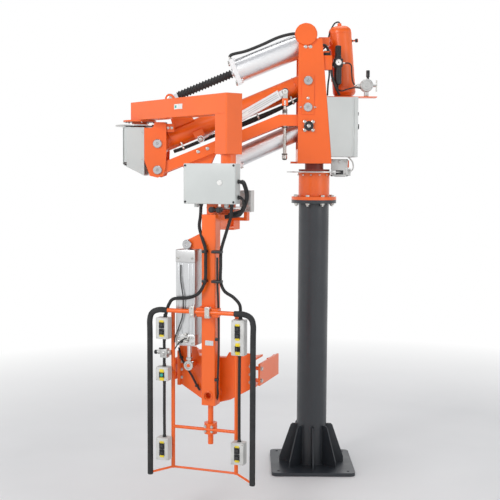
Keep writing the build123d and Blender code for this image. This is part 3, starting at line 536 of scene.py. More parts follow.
# ---------------------------------------------------------------- column and turret
def column_details():
    low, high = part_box("column")
    top = high[2] / MM
    bm = bmesh.new()
    flange = top - 23.5
    bead(bm, along((0, 0, flange * MM), UP), 111.5, 3.5)
    bead(bm, along((0, 0, 26 * MM), UP), 112, 4)
    for i in range(8):
        turn = Matrix.Rotation(math.radians(45 * i), 4, "Z")
        for side in (-9.5, 9.5):
            seam(bm, at(turn, 114, side, 27), at(turn, 234, side, 27))
            seam(bm, at(turn, 110.5, side, 30), at(turn, 110.5, side, 306))
    piece("column_welds", bm, "column", DARK, sharp=50)
    bm = bmesh.new()
    for i in range(8):
        angle = math.radians(22.5 + 45 * i)
        x, y = 140 * math.cos(angle), 140 * math.sin(angle)
        above = along(mm(x, y, flange + 47), UP)
        bolt(bm, above, 16, turn=0.3 * i)
        below = along(mm(x, y, flange), -UP)
        bolt(bm, below, 16, turn=0.5 * i)
        lathe(bm, below, [(0, 12), (7.5, 12), (7.5, 21), (6.5, 22), (0, 22)], 16)
    piece("column_flange_bolts", bm, "column", ZINC, replaces=["column_bolts"])
    bm = bmesh.new()
    bead(bm, along((0, 0, (flange + 48) * MM), UP), 114, 3.5)
    bead(bm, along((0, 0, (flange + 205) * MM), UP), 114, 2.5)
    piece("turret_welds", bm, "column", ORANGE, sharp=50)
    bm = bmesh.new()
    disc_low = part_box("slew_brake_disc")[0][2] / MM
    for i in range(12):
        angle = math.radians(15 + 30 * i)
        spot = mm(119 * math.cos(angle), 119 * math.sin(angle), disc_low - 14)
        bolt(bm, along(spot, -UP), 8, turn=0.4 * i)
        spot = mm(55 * math.cos(angle), 55 * math.sin(angle), disc_low + 8)
        socket_screw(bm, along(spot, UP), 8)
    piece("disc_bolts", bm, "column", ZINC)


# ---------------------------------------------------------------- head
def head_details():
    low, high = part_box("head_frame")
    bm = bmesh.new()
    pins = [(ARM_PIVOT, SIDE_Y + 16 * MM, 31), (LINK_PIVOT, SIDE_Y + 16 * MM, 31)]
    for point, y, r in pins:
        big_pin_end(bm, along((point.x, -y, point.z), FRONT), r)
        big_pin_end(bm, along((point.x, SIDE_Y + 8 * MM, point.z), ACROSS), r)
    piece("head_pin_washers", bm, "head", STEEL)
    bm = bmesh.new()
    mid = (ARM_PIVOT.z * 0.34 + LINK_PIVOT.z * 0.66)
    bolt(bm, along((ARM_PIVOT.x, -SIDE_Y - 8 * MM, mid), FRONT), 10)
    for dx in (-17, 17):
        for side in (-1, 1):
            spot = Vector((-62 * MM + dx * MM, side * SIDE_Y, 3047 * MM))
            bolt(bm, along(spot, (0, side, 0)), 12)
    for side, x in ((-1, -102), (1, -16)):
        spot = Vector((x * MM, -SIDE_Y - 6 * MM, LINK_PIVOT.z))
        place = along(spot, (side, 0, 0))
        bolt(bm, place, 9, washer=False)
        lathe(bm, place, [(0, 5), (4.5, 5), (4.5, 16), (0, 16)], 14)
    piece("head_bolts", bm, "head", ZINC)
    bm = bmesh.new()
    for side in (-1, 1):
        place = along((-76 * MM, side * (SIDE_Y + 15 * MM), 3132 * MM), (0, side, 0))
        lathe(bm, place, capped(76, 2, 73, 4.5), 64)
        bead(bm, along((-76 * MM, side * (SIDE_Y + 1 * MM), 3132 * MM), ACROSS), 77, 2.2)
    brick(bm, IDENTITY, (47, -134, 2888), (111, -70, 2989), 4)
    brick(bm, IDENTITY, (40, -128, 3010), (92, 60, 3018), 2)
    piece("head_orange_trim", bm, "head", ORANGE)
    bearing = bmesh.new()
    face = along((LOWER_PIVOT.x, -SIDE_Y - 12 * MM, LOWER_PIVOT.z), FRONT)
    lathe(bearing, face, [(0, 0), (36, 0), (36, 6), (30, 9), (24, 9), (22, 6), (13, 6)], 8)
    piece("flange_bearing", bearing, "head", BLACK, replaces=[])
    bm = bmesh.new()
    lathe(bm, face, [(0, 4), (13, 4), (13, 10), (11, 11), (0, 11)], 24)
    for dx in (-29, 29):
        for dz in (-29, 29):
            spot = Vector((LOWER_PIVOT.x + dx * MM, -SIDE_Y - 16 * MM, LOWER_PIVOT.z + dz * MM))
            lathe(bm, along(spot, FRONT), [(0, 0), (12, 0), (12, 2), (9, 3), (9, 8), (7, 9), (0, 9)], 20)
    piece("flange_bearing_nuts", bm, "head", ZINC)


def enclosure_details():
    low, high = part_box("head_enclosure")
    door_low, door_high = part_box("enclosure_door")
    x = low[0] / MM
    bm = bmesh.new()
    edge = door_low[0] / MM
    brick(bm, IDENTITY, (edge - 9, -152.0, low[2] / MM + 1), (edge - 2, -149, high[2] / MM - 1), 1)
    piece("enclosure_rims", bm, "head", GREY_PAINT)
    bm = bmesh.new()
    mid = (low[2] + high[2]) / 2 / MM
    face = door_high[0] / MM - 9
    for z in (mid - 4, mid + 95):
        lathe(bm, along(mm(face, -112, z), (1, 0, 0)), capped(13, 5, 11, 7), 24)
    brick(bm, IDENTITY, (face + 5, -118, mid - 12), (face + 11, -106, mid + 22), 2)
    piece("door_latches", bm, "enclosure_door", BLACK)

def gland(bm, place, r=11):
    """Cable gland: hexagon body and domed nut."""
    hex_head(bm, place, r * 2.0, 6)
    lathe(bm, place, [(r * 0.95, 6), (r * 0.95, 13), (r * 0.8, 19), (r * 0.62, 21), (0, 21)], 20)


def head_services():
    bm = bmesh.new()
    low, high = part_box("filter_regulator")
    x, y = 158, -60
    tower = along(mm(x, y, 0), UP)
    profile = [(0, 2789), (16, 2789), (24, 2795), (26.5, 2803)]
    for i in range(7):
        z = 2808 + i * 14
        profile += [(27.6, z), (27.6, z + 8), (26.4, z + 9), (26.4, z + 13)]
    profile += [(28.5, 2910), (28.5, 2974), (25, 2978), (23, 2992), (0, 2992)]
    lathe(bm, tower, profile, 40)
    brick(bm, IDENTITY, (x - 33, y - 28, 2914), (x + 33, y + 28, 2972), 5, 3)
    brick(bm, IDENTITY, (94, y - 11, 2922), (x - 20, y + 11, 2946), 3)
    lathe(bm, along(mm(x, y, 2790), -UP), capped(8, 10, 5, 16), 16)
    piece("regulator_body", bm, "head", BLACK, replaces=["filter_regulator"])
    bm = bmesh.new()
    lathe(bm, tower, [(0, 2992.5), (21, 2992.5), (22, 2996), (22, 3000), (0, 3000)], 40)
    steps = 40
    for i in range(steps):
        turn = tower @ Matrix.Rotation(math.tau * i / steps, 4, "Z")
        brick(bm, turn, (17, -0.9, 2998), (21.6, 0.9, 3062), 0.4, 1)
    lathe(bm, tower, [(0, 2996), (20.2, 2996), (20.2, 3062), (17, 3066), (0, 3066)], 40)
    piece("regulator_knob_ribbed", bm, "regulator_knob", BLACK, replaces=["regulator_knob"])
    gauge_details(x, y)
    valve_details()
    tank_details()
    hose_details(x, y)


def gauge_details(x, y):
    face = along(mm(x, y - 27, 2943), FRONT)
    bm = bmesh.new()
    lathe(bm, face, [(0, 0), (10, 0), (10, 8), (25, 10), (25.5, 14), (25.5, 29), (24, 31), (21.5, 31),
            (21.5, 28)], 48)
    piece("gauge_case", bm, "head", BLACK, replaces=["pressure_gauge"])
    bm = bmesh.new()
    lathe(bm, face, [(0, 28.2), (21.6, 28.2)], 48)
    piece("gauge_dial", bm, "head", GLASS_WHITE)
    bm = bmesh.new()
    for i in range(11):
        turn = face @ Matrix.Rotation(math.radians(135 - 27 * i), 4, "Z")
        brick(bm, turn, (-0.5, 15.0, 28.3), (0.5, 19.5, 28.8), 0, 1)
    needle = face @ Matrix.Rotation(math.radians(30), 4, "Z")
    brick(bm, needle, (-0.8, -5, 28.9), (0.8, 15, 29.6), 0.2, 1)
    lathe(bm, face, [(0, 28.3), (3, 28.3), (3, 30), (0, 30)], 16)
    piece("gauge_marks", bm, "head", GLOSS_BLACK, "black_plastic")


def valve_details():
    bm = bmesh.new()
    face = along(mm(367, 0, 2788), FRONT)
    lathe(bm, face, [(0, -2), (42, -2), (46, 2), (46, 22), (40, 26), (40, 38), (46, 42), (46, 56), (41, 60),
            (32, 60), (30, 57), (13, 57), (11, 61), (0, 61)], 56)
    for i in range(6):
        turn = face @ Matrix.Rotation(math.tau * (i + 0.5) / 6, 4, "Z")
        socket_screw(bm, turn @ Matrix.Translation((37 * MM, 0, 60 * MM)), 5)
    brick(bm, IDENTITY, (300, -42, 2777), (336, -18, 2799), 3)
    brick(bm, IDENTITY, (351, -46, 2708.2), (383, -14, 2762), 4)
    lathe(bm, along(mm(400, -30, 2788), (1, 0, 0)), [(0, -6), (14, -6), (14, 12), (11, 16), (11, 29),
            (0, 29)], 24)
    piece("pilot_valve_body", bm, "head", CAST, replaces=["pilot_valve"])
    bm = bmesh.new()
    stem = along(mm(377, -30, 2826), UP)
    lathe(bm, stem, [(0, 0), (9, 0), (9, 18), (8, 20), (13, 22), (13, 66), (11, 70), (0, 70)], 28)
    for z in (2852, 2861, 2870, 2879):
        bead(bm, along(mm(377, -30, z), UP), 13, 0.9, 24)
    piece("pilot_silencer", bm, "head", BLACK)
    bm = bmesh.new()
    hub = along(mm(429.4, -30, 2788), (1, 0, 0))
    lathe(bm, hub, capped(11, 6, 9, 8), 24)
    hex_head(bm, hub, 11, 5, 8)
    handle = smooth_line([mm(440, -30, 2744), mm(440, -30, 2770), mm(440, -30, 2800), mm(440, -30, 2826)],
            4 * MM)
    tube(bm, handle, 5, 12)
    piece("valve_lever_handle", bm, "valve_lever", ZINC, "aluminium", replaces=["valve_lever"])


def tank_details():
    lean = math.atan2(74, 877)
    base = Matrix.Translation(Vector((226, 115, 2708)) * MM) @ Matrix.Rotation(-lean, 4, "Y")
    bm = bmesh.new()
    for z in (82, 466):
        bead(bm, base @ Matrix.Translation((0, 0, z * MM)), 84, 1.6)
    lathe(bm, base, [(0, 514), (20, 514), (20, 520), (15, 523), (15, 541), (12, 543), (0, 543)], 24)
    for z in (140, 400):
        for turn_deg in (150, 210):
            turn = base @ Matrix.Rotation(math.radians(turn_deg), 4, "Z")
            brick(bm, turn, (78, -14, z - 12), (92, 14, z + 12), 2)
    piece("tank_fittings", bm, "head", ORANGE)
    bm = bmesh.new()
    knob = along(base @ Vector((84 * MM, 0, 410 * MM)), base.to_3x3() @ Vector((1, 0, 0)))
    lathe(bm, knob, [(0, 0), (8, 0), (8, 6), (6, 7), (6, 20), (9, 22), (14, 24), (14, 38), (11, 41),
            (0, 41)], 20)
    piece("tank_drain_knob", bm, "head", BLACK)
    bm = bmesh.new()
    top = base @ Vector((0, 0, 541 * MM))
    loop = [top, top + Vector((0, 0, 6)) * MM, top + Vector((-14, -8, 10)) * MM, top + Vector((-40, -16,
            -6)) * MM, top + Vector((-68, -30, -62)) * MM, mm(76, 40, 3075), mm(40, 20, 3040)]
    tube(bm, smooth_line(loop, 4 * MM), 5.5, 12)
    piece("tank_hose", bm, "head", RUBBER)


def hose_details(x, y):
    bm = bmesh.new()
    runs = [[(208, y, 2942), (232, y, 2944), (254, y + 4, 2926), (258, y + 12, 2880), (266, y + 22, 2822),
            (284, y + 29, 2790), (300, y + 30, 2788)], [(x, y, 2780), (x + 4, y, 2758),
            (x + 30, y - 4, 2746), (230, y + 4, 2760), (280, y + 18, 2772), (330, y + 18, 2768)]]
    for points in runs:
        hose(bm, IDENTITY, points, 5, 12, 5)
    fat = [(20, -80, 3060), (62, -84, 3064), (88, -92, 3020), (104, -108, 2930), (112, -114, 2850),
            (140, -104, 2770), (170, -60, 2722)]
    hose(bm, IDENTITY, fat, 9, 14, 6)
    thin = [(60, -90, 2995), (76, -100, 2950), (90, -112, 2900), (92, -116, 2850), (86, -100, 2790),
            (84, -80, 2712)]
    hose(bm, IDENTITY, thin, 6, 12, 6)
    brick(bm, IDENTITY, (52, -122, 2990), (100, -84, 3024), 4)
    piece("head_hose_runs", bm, "head", RUBBER, replaces=["head_hoses"])
    bm = bmesh.new()
    elbow = mm(178, y, 2942)
    lathe(bm, along(elbow, (1, 0, 0)), [(0, 0), (9, 0), (9, 10), (7, 12), (7, 30), (0, 30)], 18)
    lathe(bm, along(mm(296, y + 30, 2788), (-1, 0, 0)), capped(8, 14, 6, 18), 18)
    piece("hose_fittings", bm, "head", ZINC)


def brake_calipers():
    """Castings beside the turning discs; the CAD shells stay underneath as they are."""
    bm = bmesh.new()
    for x0, x1 in ((118, 130), (226, 238)):
        brick(bm, IDENTITY, (x0, -65, 2138), (x1, -60, 2198), 2)
        brick(bm, IDENTITY, (x0, -65, 2218), (x1, -60, 2260), 2)
    brick(bm, IDENTITY, (118, -65, 2250), (238, -60, 2260), 2)
    brick(bm, IDENTITY, (118, -65, 2138), (238, -60, 2148), 2)
    for x in (136, 220):
        for z in (2156, 2243):
            socket_screw(bm, along(mm(x, -61, z), FRONT), 8)
    lathe(bm, along(mm(178, -61, 2242), FRONT), capped(12, 4, 9, 6), 28)
    piece("slew_caliper_casting", bm, "head", CAST)
    bm = bmesh.new()
    brick(bm, IDENTITY, (152, -64, 2151), (206, -61, 2180), 2)
    piece("slew_caliper_pad", bm, "head", BLACK)
    bm = bmesh.new()
    loop = [mm(238, -46, 2170), mm(258, -46, 2172), mm(278, -44, 2195), mm(276, -40, 2235),
            mm(258, -36, 2262), mm(240, -34, 2278)]
    tube(bm, smooth_line(loop, 5 * MM), 5, 12)
    piece("slew_caliper_hose", bm, "head", GREY_PLASTIC)
    low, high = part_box("tool_brake_disc")
    z = (low[2] + high[2]) / 2 / MM
    bm = bmesh.new()
    for z0, z1 in ((z - 23, z - 10), (z + 10, z + 113)):
        brick(bm, TOOL, (148, -80, z0), (180, -74, z1), 3, 2)
    for dz in (28, 98):
        for x in (124, 166):
            socket_screw(bm, tool_face(x, -78, z + dz), 8)
    lathe(bm, tool_face(142, -78, z + 63), capped(22, 4, 18, 7), 32)
    piece("tool_caliper_casting", bm, "tool", CAST)


# ---------------------------------------------------------------- arm and link
def arm_details():
    bm = bmesh.new()
    length = (WRIST_PIVOT - ARM_PIVOT).length / MM
    for s in (92, length - 92):
        bead(bm, ARM @ Matrix.Translation((s * MM, 0, 0)) @ Matrix.Rotation(math.pi / 2, 4, "Y"), 71, 3)
    for side in (-1, 1):
        for y in (side * 31, side * 45):
            seam(bm, at(ARM, 862, y, 62), at(ARM, 1008, y, 62))
    brick(bm, ARM, (905, -31, 66), (985, 31, 74), 2)
    piece("arm_welds", bm, "main_arm", ORANGE, sharp=50)
    bm = bmesh.new()
    for side in (-1, 1):
        horn = ARM @ Matrix.Translation(Vector((956, side * 44, 269)) * MM)
        place = along(horn.translation, (0, side, 0))
        lathe(bm, place, [(0, 0), (20, 0), (20, 3), (16, 5), (12, 5), (12, 10), (0, 10)], 28)
    lug = at(ARM, 859, -126, -88)
    lathe(bm, along(lug, FRONT), [(0, 0), (14, 0), (14, 3), (9, 4), (9, 9), (0, 9)], 24)
    piece("arm_pin_nuts", bm, "main_arm", ZINC)
    bm = bmesh.new()
    route = [(70, -74, -80), (150, -64, -94), (300, -58, -97), (480, -56, -96), (660, -57, -98),
            (840, -60, -97), (1000, -62, -96), (1075, -70, -92)]
    corrugated(bm, ARM, route, 14, 6.5, 2.6)
    route = [(70, -40, -78), (160, -36, -96), (330, -34, -108), (520, -34, -110), (700, -36, -104)]
    corrugated(bm, ARM, route, 10, 5.5, 2.0, 12)
    piece("arm_hose_bundle", bm, "main_arm", RUBBER, replaces=["arm_hoses"])
    bm = bmesh.new()
    for s in (150, 420, 690, 1000):
        place = ARM @ Matrix.Translation(Vector((s, -62, -95)) * MM) @ Matrix.Rotation(math.pi / 2, 4, "Y")
        lathe(bm, place, [(15, -6), (17, -6), (17, 6), (15, 6)], 28)
        brick(bm, ARM, (s - 6, -60, -84), (s + 6, -54, -50), 1)
    piece("hose_clips", bm, "main_arm", ZINC)


def link_details():
    bm = bmesh.new()
    for x, rise in ((-836, 45), (-770, 68)):
        spot = Vector((x, -131, 2262 + rise)) * MM
        bolt(bm, along(spot, FRONT), 12)
        bolt(bm, along(spot + Vector((0, 262 * MM, 0)), ACROSS), 12)
    for y in (-93, 93):
        spot = Vector((-836, y, 2140)) * MM
        bolt(bm, along(spot, (0, y, 0)), 16)
    piece("link_bolts", bm, "lower_link", ZINC)
    bm = bmesh.new()
    spindle = along(Vector((LOCK_PIVOT.x, LOCK_PIVOT.y, 0)), UP)
    profile = [(0, 2266)]
    z = 2286
    while z < 2640:
        profile += [(11.2, z), (12.2, z + 1.5)]
        z += 3
    lathe(bm, spindle, profile + [(12, 2700), (0, 2700)], 20)
    for low in (2597, 2583):
        hex_head(bm, spindle, 34, 14, low, 0.4)
    hex_head(bm, spindle, 34, 12, 2479, 0.1)
    lathe(bm, spindle, [(0, 2250), (13, 2252), (17, 2258), (19, 2266), (19, 2278), (15, 2284), (12, 2286),
            (0, 2286)], 28)
    lathe(bm, spindle, [(13, 2287), (20, 2287), (20, 2298), (13, 2298)], 24)
    head = along(LOCK_PIVOT + Vector((0, -11 * MM, 0)), FRONT)
    lathe(bm, head, capped(24, 4, 21, 6), 32)
    piece("spindle_thread", bm, "lower_link", OILED)
    bm = bmesh.new()
    lathe(bm, head, [(0, 6), (17, 6), (17, 8.5), (15, 9.5), (0, 9.5)], 32)
    piece("spindle_cap", bm, "lower_link", WHITE)
    bm = bmesh.new()
    brick(bm, IDENTITY, (LOCK_PIVOT.x / MM - 22, -133, 2636), (LOCK_PIVOT.x / MM + 22, -91, 2688), 4)
    piece("spindle_block", bm, "lower_link", ORANGE)


# ---------------------------------------------------------------- air cylinders
def tie_rod_nuts(bm, place, x, half, size):
    for y in (-half + 14, half - 14):
        for z in (-half + 14, half - 14):
            spot = along(at(place, x, y, z), place.to_3x3() @ Vector((1, 0, 0)))
            bolt(bm, spot, size, turn=0.3)


def cylinder_details():
    bm = bmesh.new()
    lathe(bm, UPPER @ Matrix.Rotation(math.pi / 2, 4, "Y"), [(30, 560), (34, 563), (34, 568), (30, 568)],
          40)
    piece("upper_cylinder_flange", bm, "upper_barrel", CAP_ALU)
    bm = bmesh.new()
    tie_rod_nuts(bm, UPPER, 564, 90, 13)
    for y in (-30,):
        port = along(at(UPPER, 547, y, 90), UPPER.to_3x3() @ Vector((0, 0, 1)))
        hex_head(bm, port, 22, 12)
        lathe(bm, port, [(0, 12), (8, 12), (8, 26), (0, 26)], 18)
    piece("upper_cylinder_fittings", bm, "upper_barrel", ZINC)
    bm = bmesh.new()
    route = [(547, -30, 112), (532, -30, 122), (500, -30, 120), (420, -28, 108), (300, -30, 106),
            (190, -34, 110), (120, -40, 104), (60, -50, 90), (25, -60, 70)]
    hose(bm, UPPER, route, 11, 16, 8)
    piece("upper_cylinder_hoses", bm, "upper_barrel", RUBBER)
    bellows = bmesh.new()
    low, end = 577.0, (Vector(UPPER.translation) - at(ARM, 956, 0, 269)).length / MM - 60
    folds = 18
    pitch = (end - low) / folds
    profile = [(22, low), (29, low)]
    for i in range(folds):
        z = low + pitch * i
        profile += [(30, z + pitch * 0.10), (31.5, z + pitch * 0.24), (30.5, z + pitch * 0.38),
                (24, z + pitch * 0.60), (23.4, z + pitch * 0.70), (24, z + pitch * 0.84)]
    profile += [(29, end - 2), (29, end), (22, end)]
    lathe(bellows, UPPER @ Matrix.Rotation(math.pi / 2, 4, "Y"), profile, 40)
    obj = piece("bellows_convolutions", bellows, "upper_rod", RUBBER, "black_rubber", 60,
            replaces=["upper_bellows"])
    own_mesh(obj)
    bm = bmesh.new()
    tie_rod_nuts(bm, LOWER, 576, 70, 11)
    port = along(at(LOWER, 552, -40, -70), LOWER.to_3x3() @ Vector((0, 0, -1)))
    hex_head(bm, port, 20, 12)
    piece("lower_cylinder_nuts", bm, "lower_barrel", ZINC)
    bm = bmesh.new()
    for s in (38, 432):
        brick(bm, LOCK, (s + 6, -32, -32), (s + 14, 32, 32), 2)
    for z in (-13, 0, 13):
        brick(bm, LOCK, (60, -32, z - 3), (430, -30.5, z + 3), 0.6)
    piece("lock_cylinder_caps", bm, "lock_barrel", CAP_ALU)
    bm = bmesh.new()
    brick(bm, LOCK, (300, -32.4, -14), (352, -31.6, 10), 0.3, 1)
    piece("lock_cylinder_label", bm, "lock_barrel", WHITE)


# ---------------------------------------------------------------- wrist and forearm
def wrist_details():
    bm = bmesh.new()
    for point in (WRIST_PIVOT, WRIST_PIVOT - PIVOT_GAP):
        for side in (-1, 1):
            big_pin_end(bm, along((point.x, side * (SIDE_Y + 8 * MM), point.z), (0, side, 0)), 31)
    piece("wrist_pin_washers", bm, "wrist", STEEL)
    bm = bmesh.new()
    for x in (-1050, -1024):
        bolt(bm, along(mm(x, -126, 2475), FRONT), 10)
    for z in (2250, 2440):
        socket_screw(bm, along(mm(-1232, -SIDE_Y / MM, z), FRONT), 6)
    piece("wrist_bolts", bm, "wrist", ZINC)
    bm = bmesh.new()
    bead(bm, along((FOREARM_PIVOT.x, 0, 2479 * MM), UP), 67, 2.5)
    piece("wrist_caliper_plate", bm, "wrist", ORANGE)
    bm = bmesh.new()
    brick(bm, IDENTITY, (-1122, -48, 2501), (-1066, -2, 2519), 4, 3)
    brick(bm, IDENTITY, (-1086, -48, 2476), (-1066, -2, 2519), 4, 3)
    lathe(bm, along(mm(-1076, -25, 2474), UP), drum(12, 44), 24)
    piece("wrist_caliper_casting", bm, "wrist", CAST, replaces=["wrist_brake_caliper"])


def forearm_details():
    turn = axes_matrix((FOREARM_PIVOT.x, FOREARM_PIVOT.y, 0), (LEG_AXIS.x - FOREARM_PIVOT.x,
            LEG_AXIS.y - FOREARM_PIVOT.y, 0), UP)
    reach = (Vector(LEG_AXIS[:2]) - Vector(FOREARM_PIVOT[:2])).length / MM
    low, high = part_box("forearm_beam")
    beam_low = 2531
    bm = bmesh.new()
    bead(bm, along(at(turn, 0, 0, beam_low - 1), UP), 64, 2)
    bead(bm, along(at(turn, reach, 0, 2275), UP), 50, 2.6)
    half = 63.5
    for y in (-half, half):
        seam(bm, at(turn, reach - half, y, beam_low + 1), at(turn, reach + half - 8, y, beam_low + 1), 1.6)
    seam(bm, at(turn, reach - half - 1, -half + 6, beam_low),
         at(turn, reach - half - 1, half - 6, beam_low), 3)
    piece("forearm_welds", bm, "forearm", ORANGE, sharp=50)
    bm = bmesh.new()
    for i in range(8):
        angle = math.tau * (i + 0.5) / 8
        spot = at(turn, 100 * math.cos(angle), 100 * math.sin(angle), beam_low - 12)
        bolt(bm, along(spot, -UP), 8)
    piece("forearm_flange_bolts", bm, "forearm", ZINC)
    bm = bmesh.new()
    brick(bm, turn, (562, -half - 1.6, 2582), (662, -half + 0.5, 2616), 0.4, 1)
    piece("forearm_label", bm, "forearm", WHITE)
    bm = bmesh.new()
    brick(bm, turn, (570, -half - 2.0, 2590), (592, -half - 1, 2608), 0.2, 1)
    piece("forearm_label_band", bm, "forearm", GREEN)


# ---------------------------------------------------------------- tool
def enclosure_box_details():
    low_z, high_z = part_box("tool_enclosure")[0][2] / MM + 22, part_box("tool_enclosure")[1][2] / MM
    bm = bmesh.new()
    brick(bm, TOOL, (-166.5, -339, low_z - 1.5), (169.5, -311, high_z + 1.5), 6, 3)
    piece("enclosure_lid", bm, "tool", GREY_PAINT)
    bm = bmesh.new()
    for x in (-155, 158):
        for z in (low_z + 11, high_z - 11):
            lathe(bm, tool_face(x, -339, z), capped(7, 1.5, 5.5, 2.6), 20)
    piece("enclosure_lid_screws", bm, "tool", BLACK)
    bm = bmesh.new()
    lathe(bm, tool_face(70, -339, 2100), [(0, 0), (17, 0), (17, 3), (14, 6), (0, 7)], 36)
    piece("enclosure_vent_plug", bm, "tool", WHITE)
    bm = bmesh.new()
    for x in (-70, 130):
        gland(bm, along(at(TOOL, x, -290, low_z), -UP), 13)
    for z in (2106, 2011):
        gland(bm, along(at(TOOL, 168, -285, z), TOOL_RIGHT), 12)
    piece("enclosure_glands", bm, "tool", BLACK)


def mast_details():
    bm = bmesh.new()
    for z, y in ((1826, -255), (1888, -255)):
        seam(bm, at(TOOL, -44, y, z), at(TOOL, 44, y, z))
    bead(bm, along(at(TOOL, 0, -300, 734), UP), 18.5, 2)
    lathe(bm, tool_face(0, -346, 795), [(26, 0), (31, 0), (31, 3), (29, 4), (26, 4)], 40)
    brick(bm, TOOL, (-58, -390, 1288), (78, -345, 1296), 2)
    piece("mast_orange_details", bm, "tool", ORANGE, sharp=50)
    bm = bmesh.new()
    for x in (-79, 21):
        for dz in (-25, 25):
            socket_screw(bm, tool_face(x, -420, 1320 + dz), 7)
        brick(bm, TOOL, (x - 16, -423, 1286), (x + 16, -386, 1354), 3)
        brick(bm, TOOL, (x - 12, -426, 1296), (x + 12, -421, 1306), 1)
    for z in (572, 600):
        bolt(bm, tool_face(-22, -340, z), 9)
        bolt(bm, tool_face(22, -340, z), 9)
    piece("frame_clamps", bm, "tool", ZINC)
    bm = bmesh.new()
    for x in (13, 60):
        lathe(bm, tool_face(x, -322, 1936),
              [(0, -30), (16, -30), (16, 0), (18, 2), (18, 14), (12, 17), (12, 22), (0, 22)], 24)
    piece("mast_top_fittings", bm, "tool", BLACK)
    bm = bmesh.new()
    brick(bm, TOOL, (-20, -347.2, 1108), (34, -345, 1138), 0.4, 1)
    piece("mast_rating_plate", bm, "tool", ALU_UP)
    bm = bmesh.new()
    for x in (-14, 82):
        for z in (1685, 1505):
            brick(bm, TOOL, (min(x - 14, 34), -388, z - 9), (max(x + 14, 0), -344, z + 9), 4, 3)
    for x, y, z in ((62, -350, 1150), (60, -350, 900)):
        brick(bm, TOOL, (x - 14, y - 12, z - 9), (x + 10, y + 12, z + 9), 4, 3)
    piece("conduit_clips", bm, "tool", BLACK)


LEFT_BOX_X = -274
RIGHT_BOX_X = 218


def conduit_details():
    bm = bmesh.new()
    left = [(-70, -290, 1965), (-74, -290, 1895), (-72, -312, 1830), (-35, -350, 1755), (-10, -368, 1700),
            (-8, -370, 1620), (-8, -372, 1525), (-20, -378, 1475), (-55, -384, 1425), (-120, -388, 1400),
            (-210, -386, 1390), (-245, -378, 1355), (-264, -371, 1310), (LEFT_BOX_X, -371, 1273)]
    right = [(130, -290, 1965), (122, -290, 1890), (102, -305, 1805), (86, -332, 1725), (82, -347, 1680),
            (82, -350, 1595), (82, -352, 1510), (110, -360, 1450), (170, -367, 1415), (210, -370, 1375),
            (RIGHT_BOX_X, -371, 1330), (RIGHT_BOX_X, -371, 1284)]
    for route in (left, right):
        corrugated(bm, TOOL, route, 10.5, 5.0, 1.6, 14)
    for x, z0, z1 in ((LEFT_BOX_X, 1076, 1146), (LEFT_BOX_X, 966, 1025), (LEFT_BOX_X, 523, 887),
            (RIGHT_BOX_X, 539, 1075)):
        corrugated(bm, TOOL, [(x, -385, z0), (x - 1, -385, (z0 + z1) / 2), (x, -385, z1)],
                9.5, 4.6, 1.4, 14)
    loop = [(186, -285, 2106), (202, -280, 2098), (214, -262, 2045), (212, -258, 1993), (168, -245, 1912),
            (114, -240, 1897), (70, -246, 1890)]
    corrugated(bm, TOOL, loop, 14, 6.0, 2.4, 14)
    loop = [(186, -285, 2011), (200, -280, 1990), (196, -262, 1945), (160, -240, 1925), (90, -238, 1905)]
    corrugated(bm, TOOL, loop, 9, 5.0, 1.6, 12)
    piece("conduit_runs", bm, "tool", RUBBER, replaces=["control_conduits"])
    bm = bmesh.new()
    down = [(64, -360, 1650), (64, -358, 1500), (70, -356, 1355), (72, -354, 1155), (70, -352, 1025),
            (62, -345, 870), (55, -320, 800), (36, -300, 757)]
    hose(bm, TOOL, down, 6.5, 12, 8)
    piece("mast_air_hose", bm, "tool", RUBBER)
    bm = bmesh.new()
    for x, tops, feet in ((LEFT_BOX_X, (968, 525), (1273,)), (RIGHT_BOX_X, (541,), (1284,))):
        for z in tops:
            gland(bm, along(at(TOOL, x, -385, z), UP), 11)
        for z in feet:
            gland(bm, along(at(TOOL, x, -371, z), UP), 12)
    for x, z in ((LEFT_BOX_X, 1144), (LEFT_BOX_X, 885), (RIGHT_BOX_X, 1073)):
        gland(bm, along(at(TOOL, x, -385, z), -UP), 11)
    piece("box_glands", bm, "tool", BLACK)


BOXES = {"left_top": (LEFT_BOX_X, 1144, 1273), "left_mid": (LEFT_BOX_X, 885, 968),
        "left_low": (LEFT_BOX_X, 388, 525), "right_top": (RIGHT_BOX_X, 1073, 1284),
        "right_low": (RIGHT_BOX_X, 408, 541)}


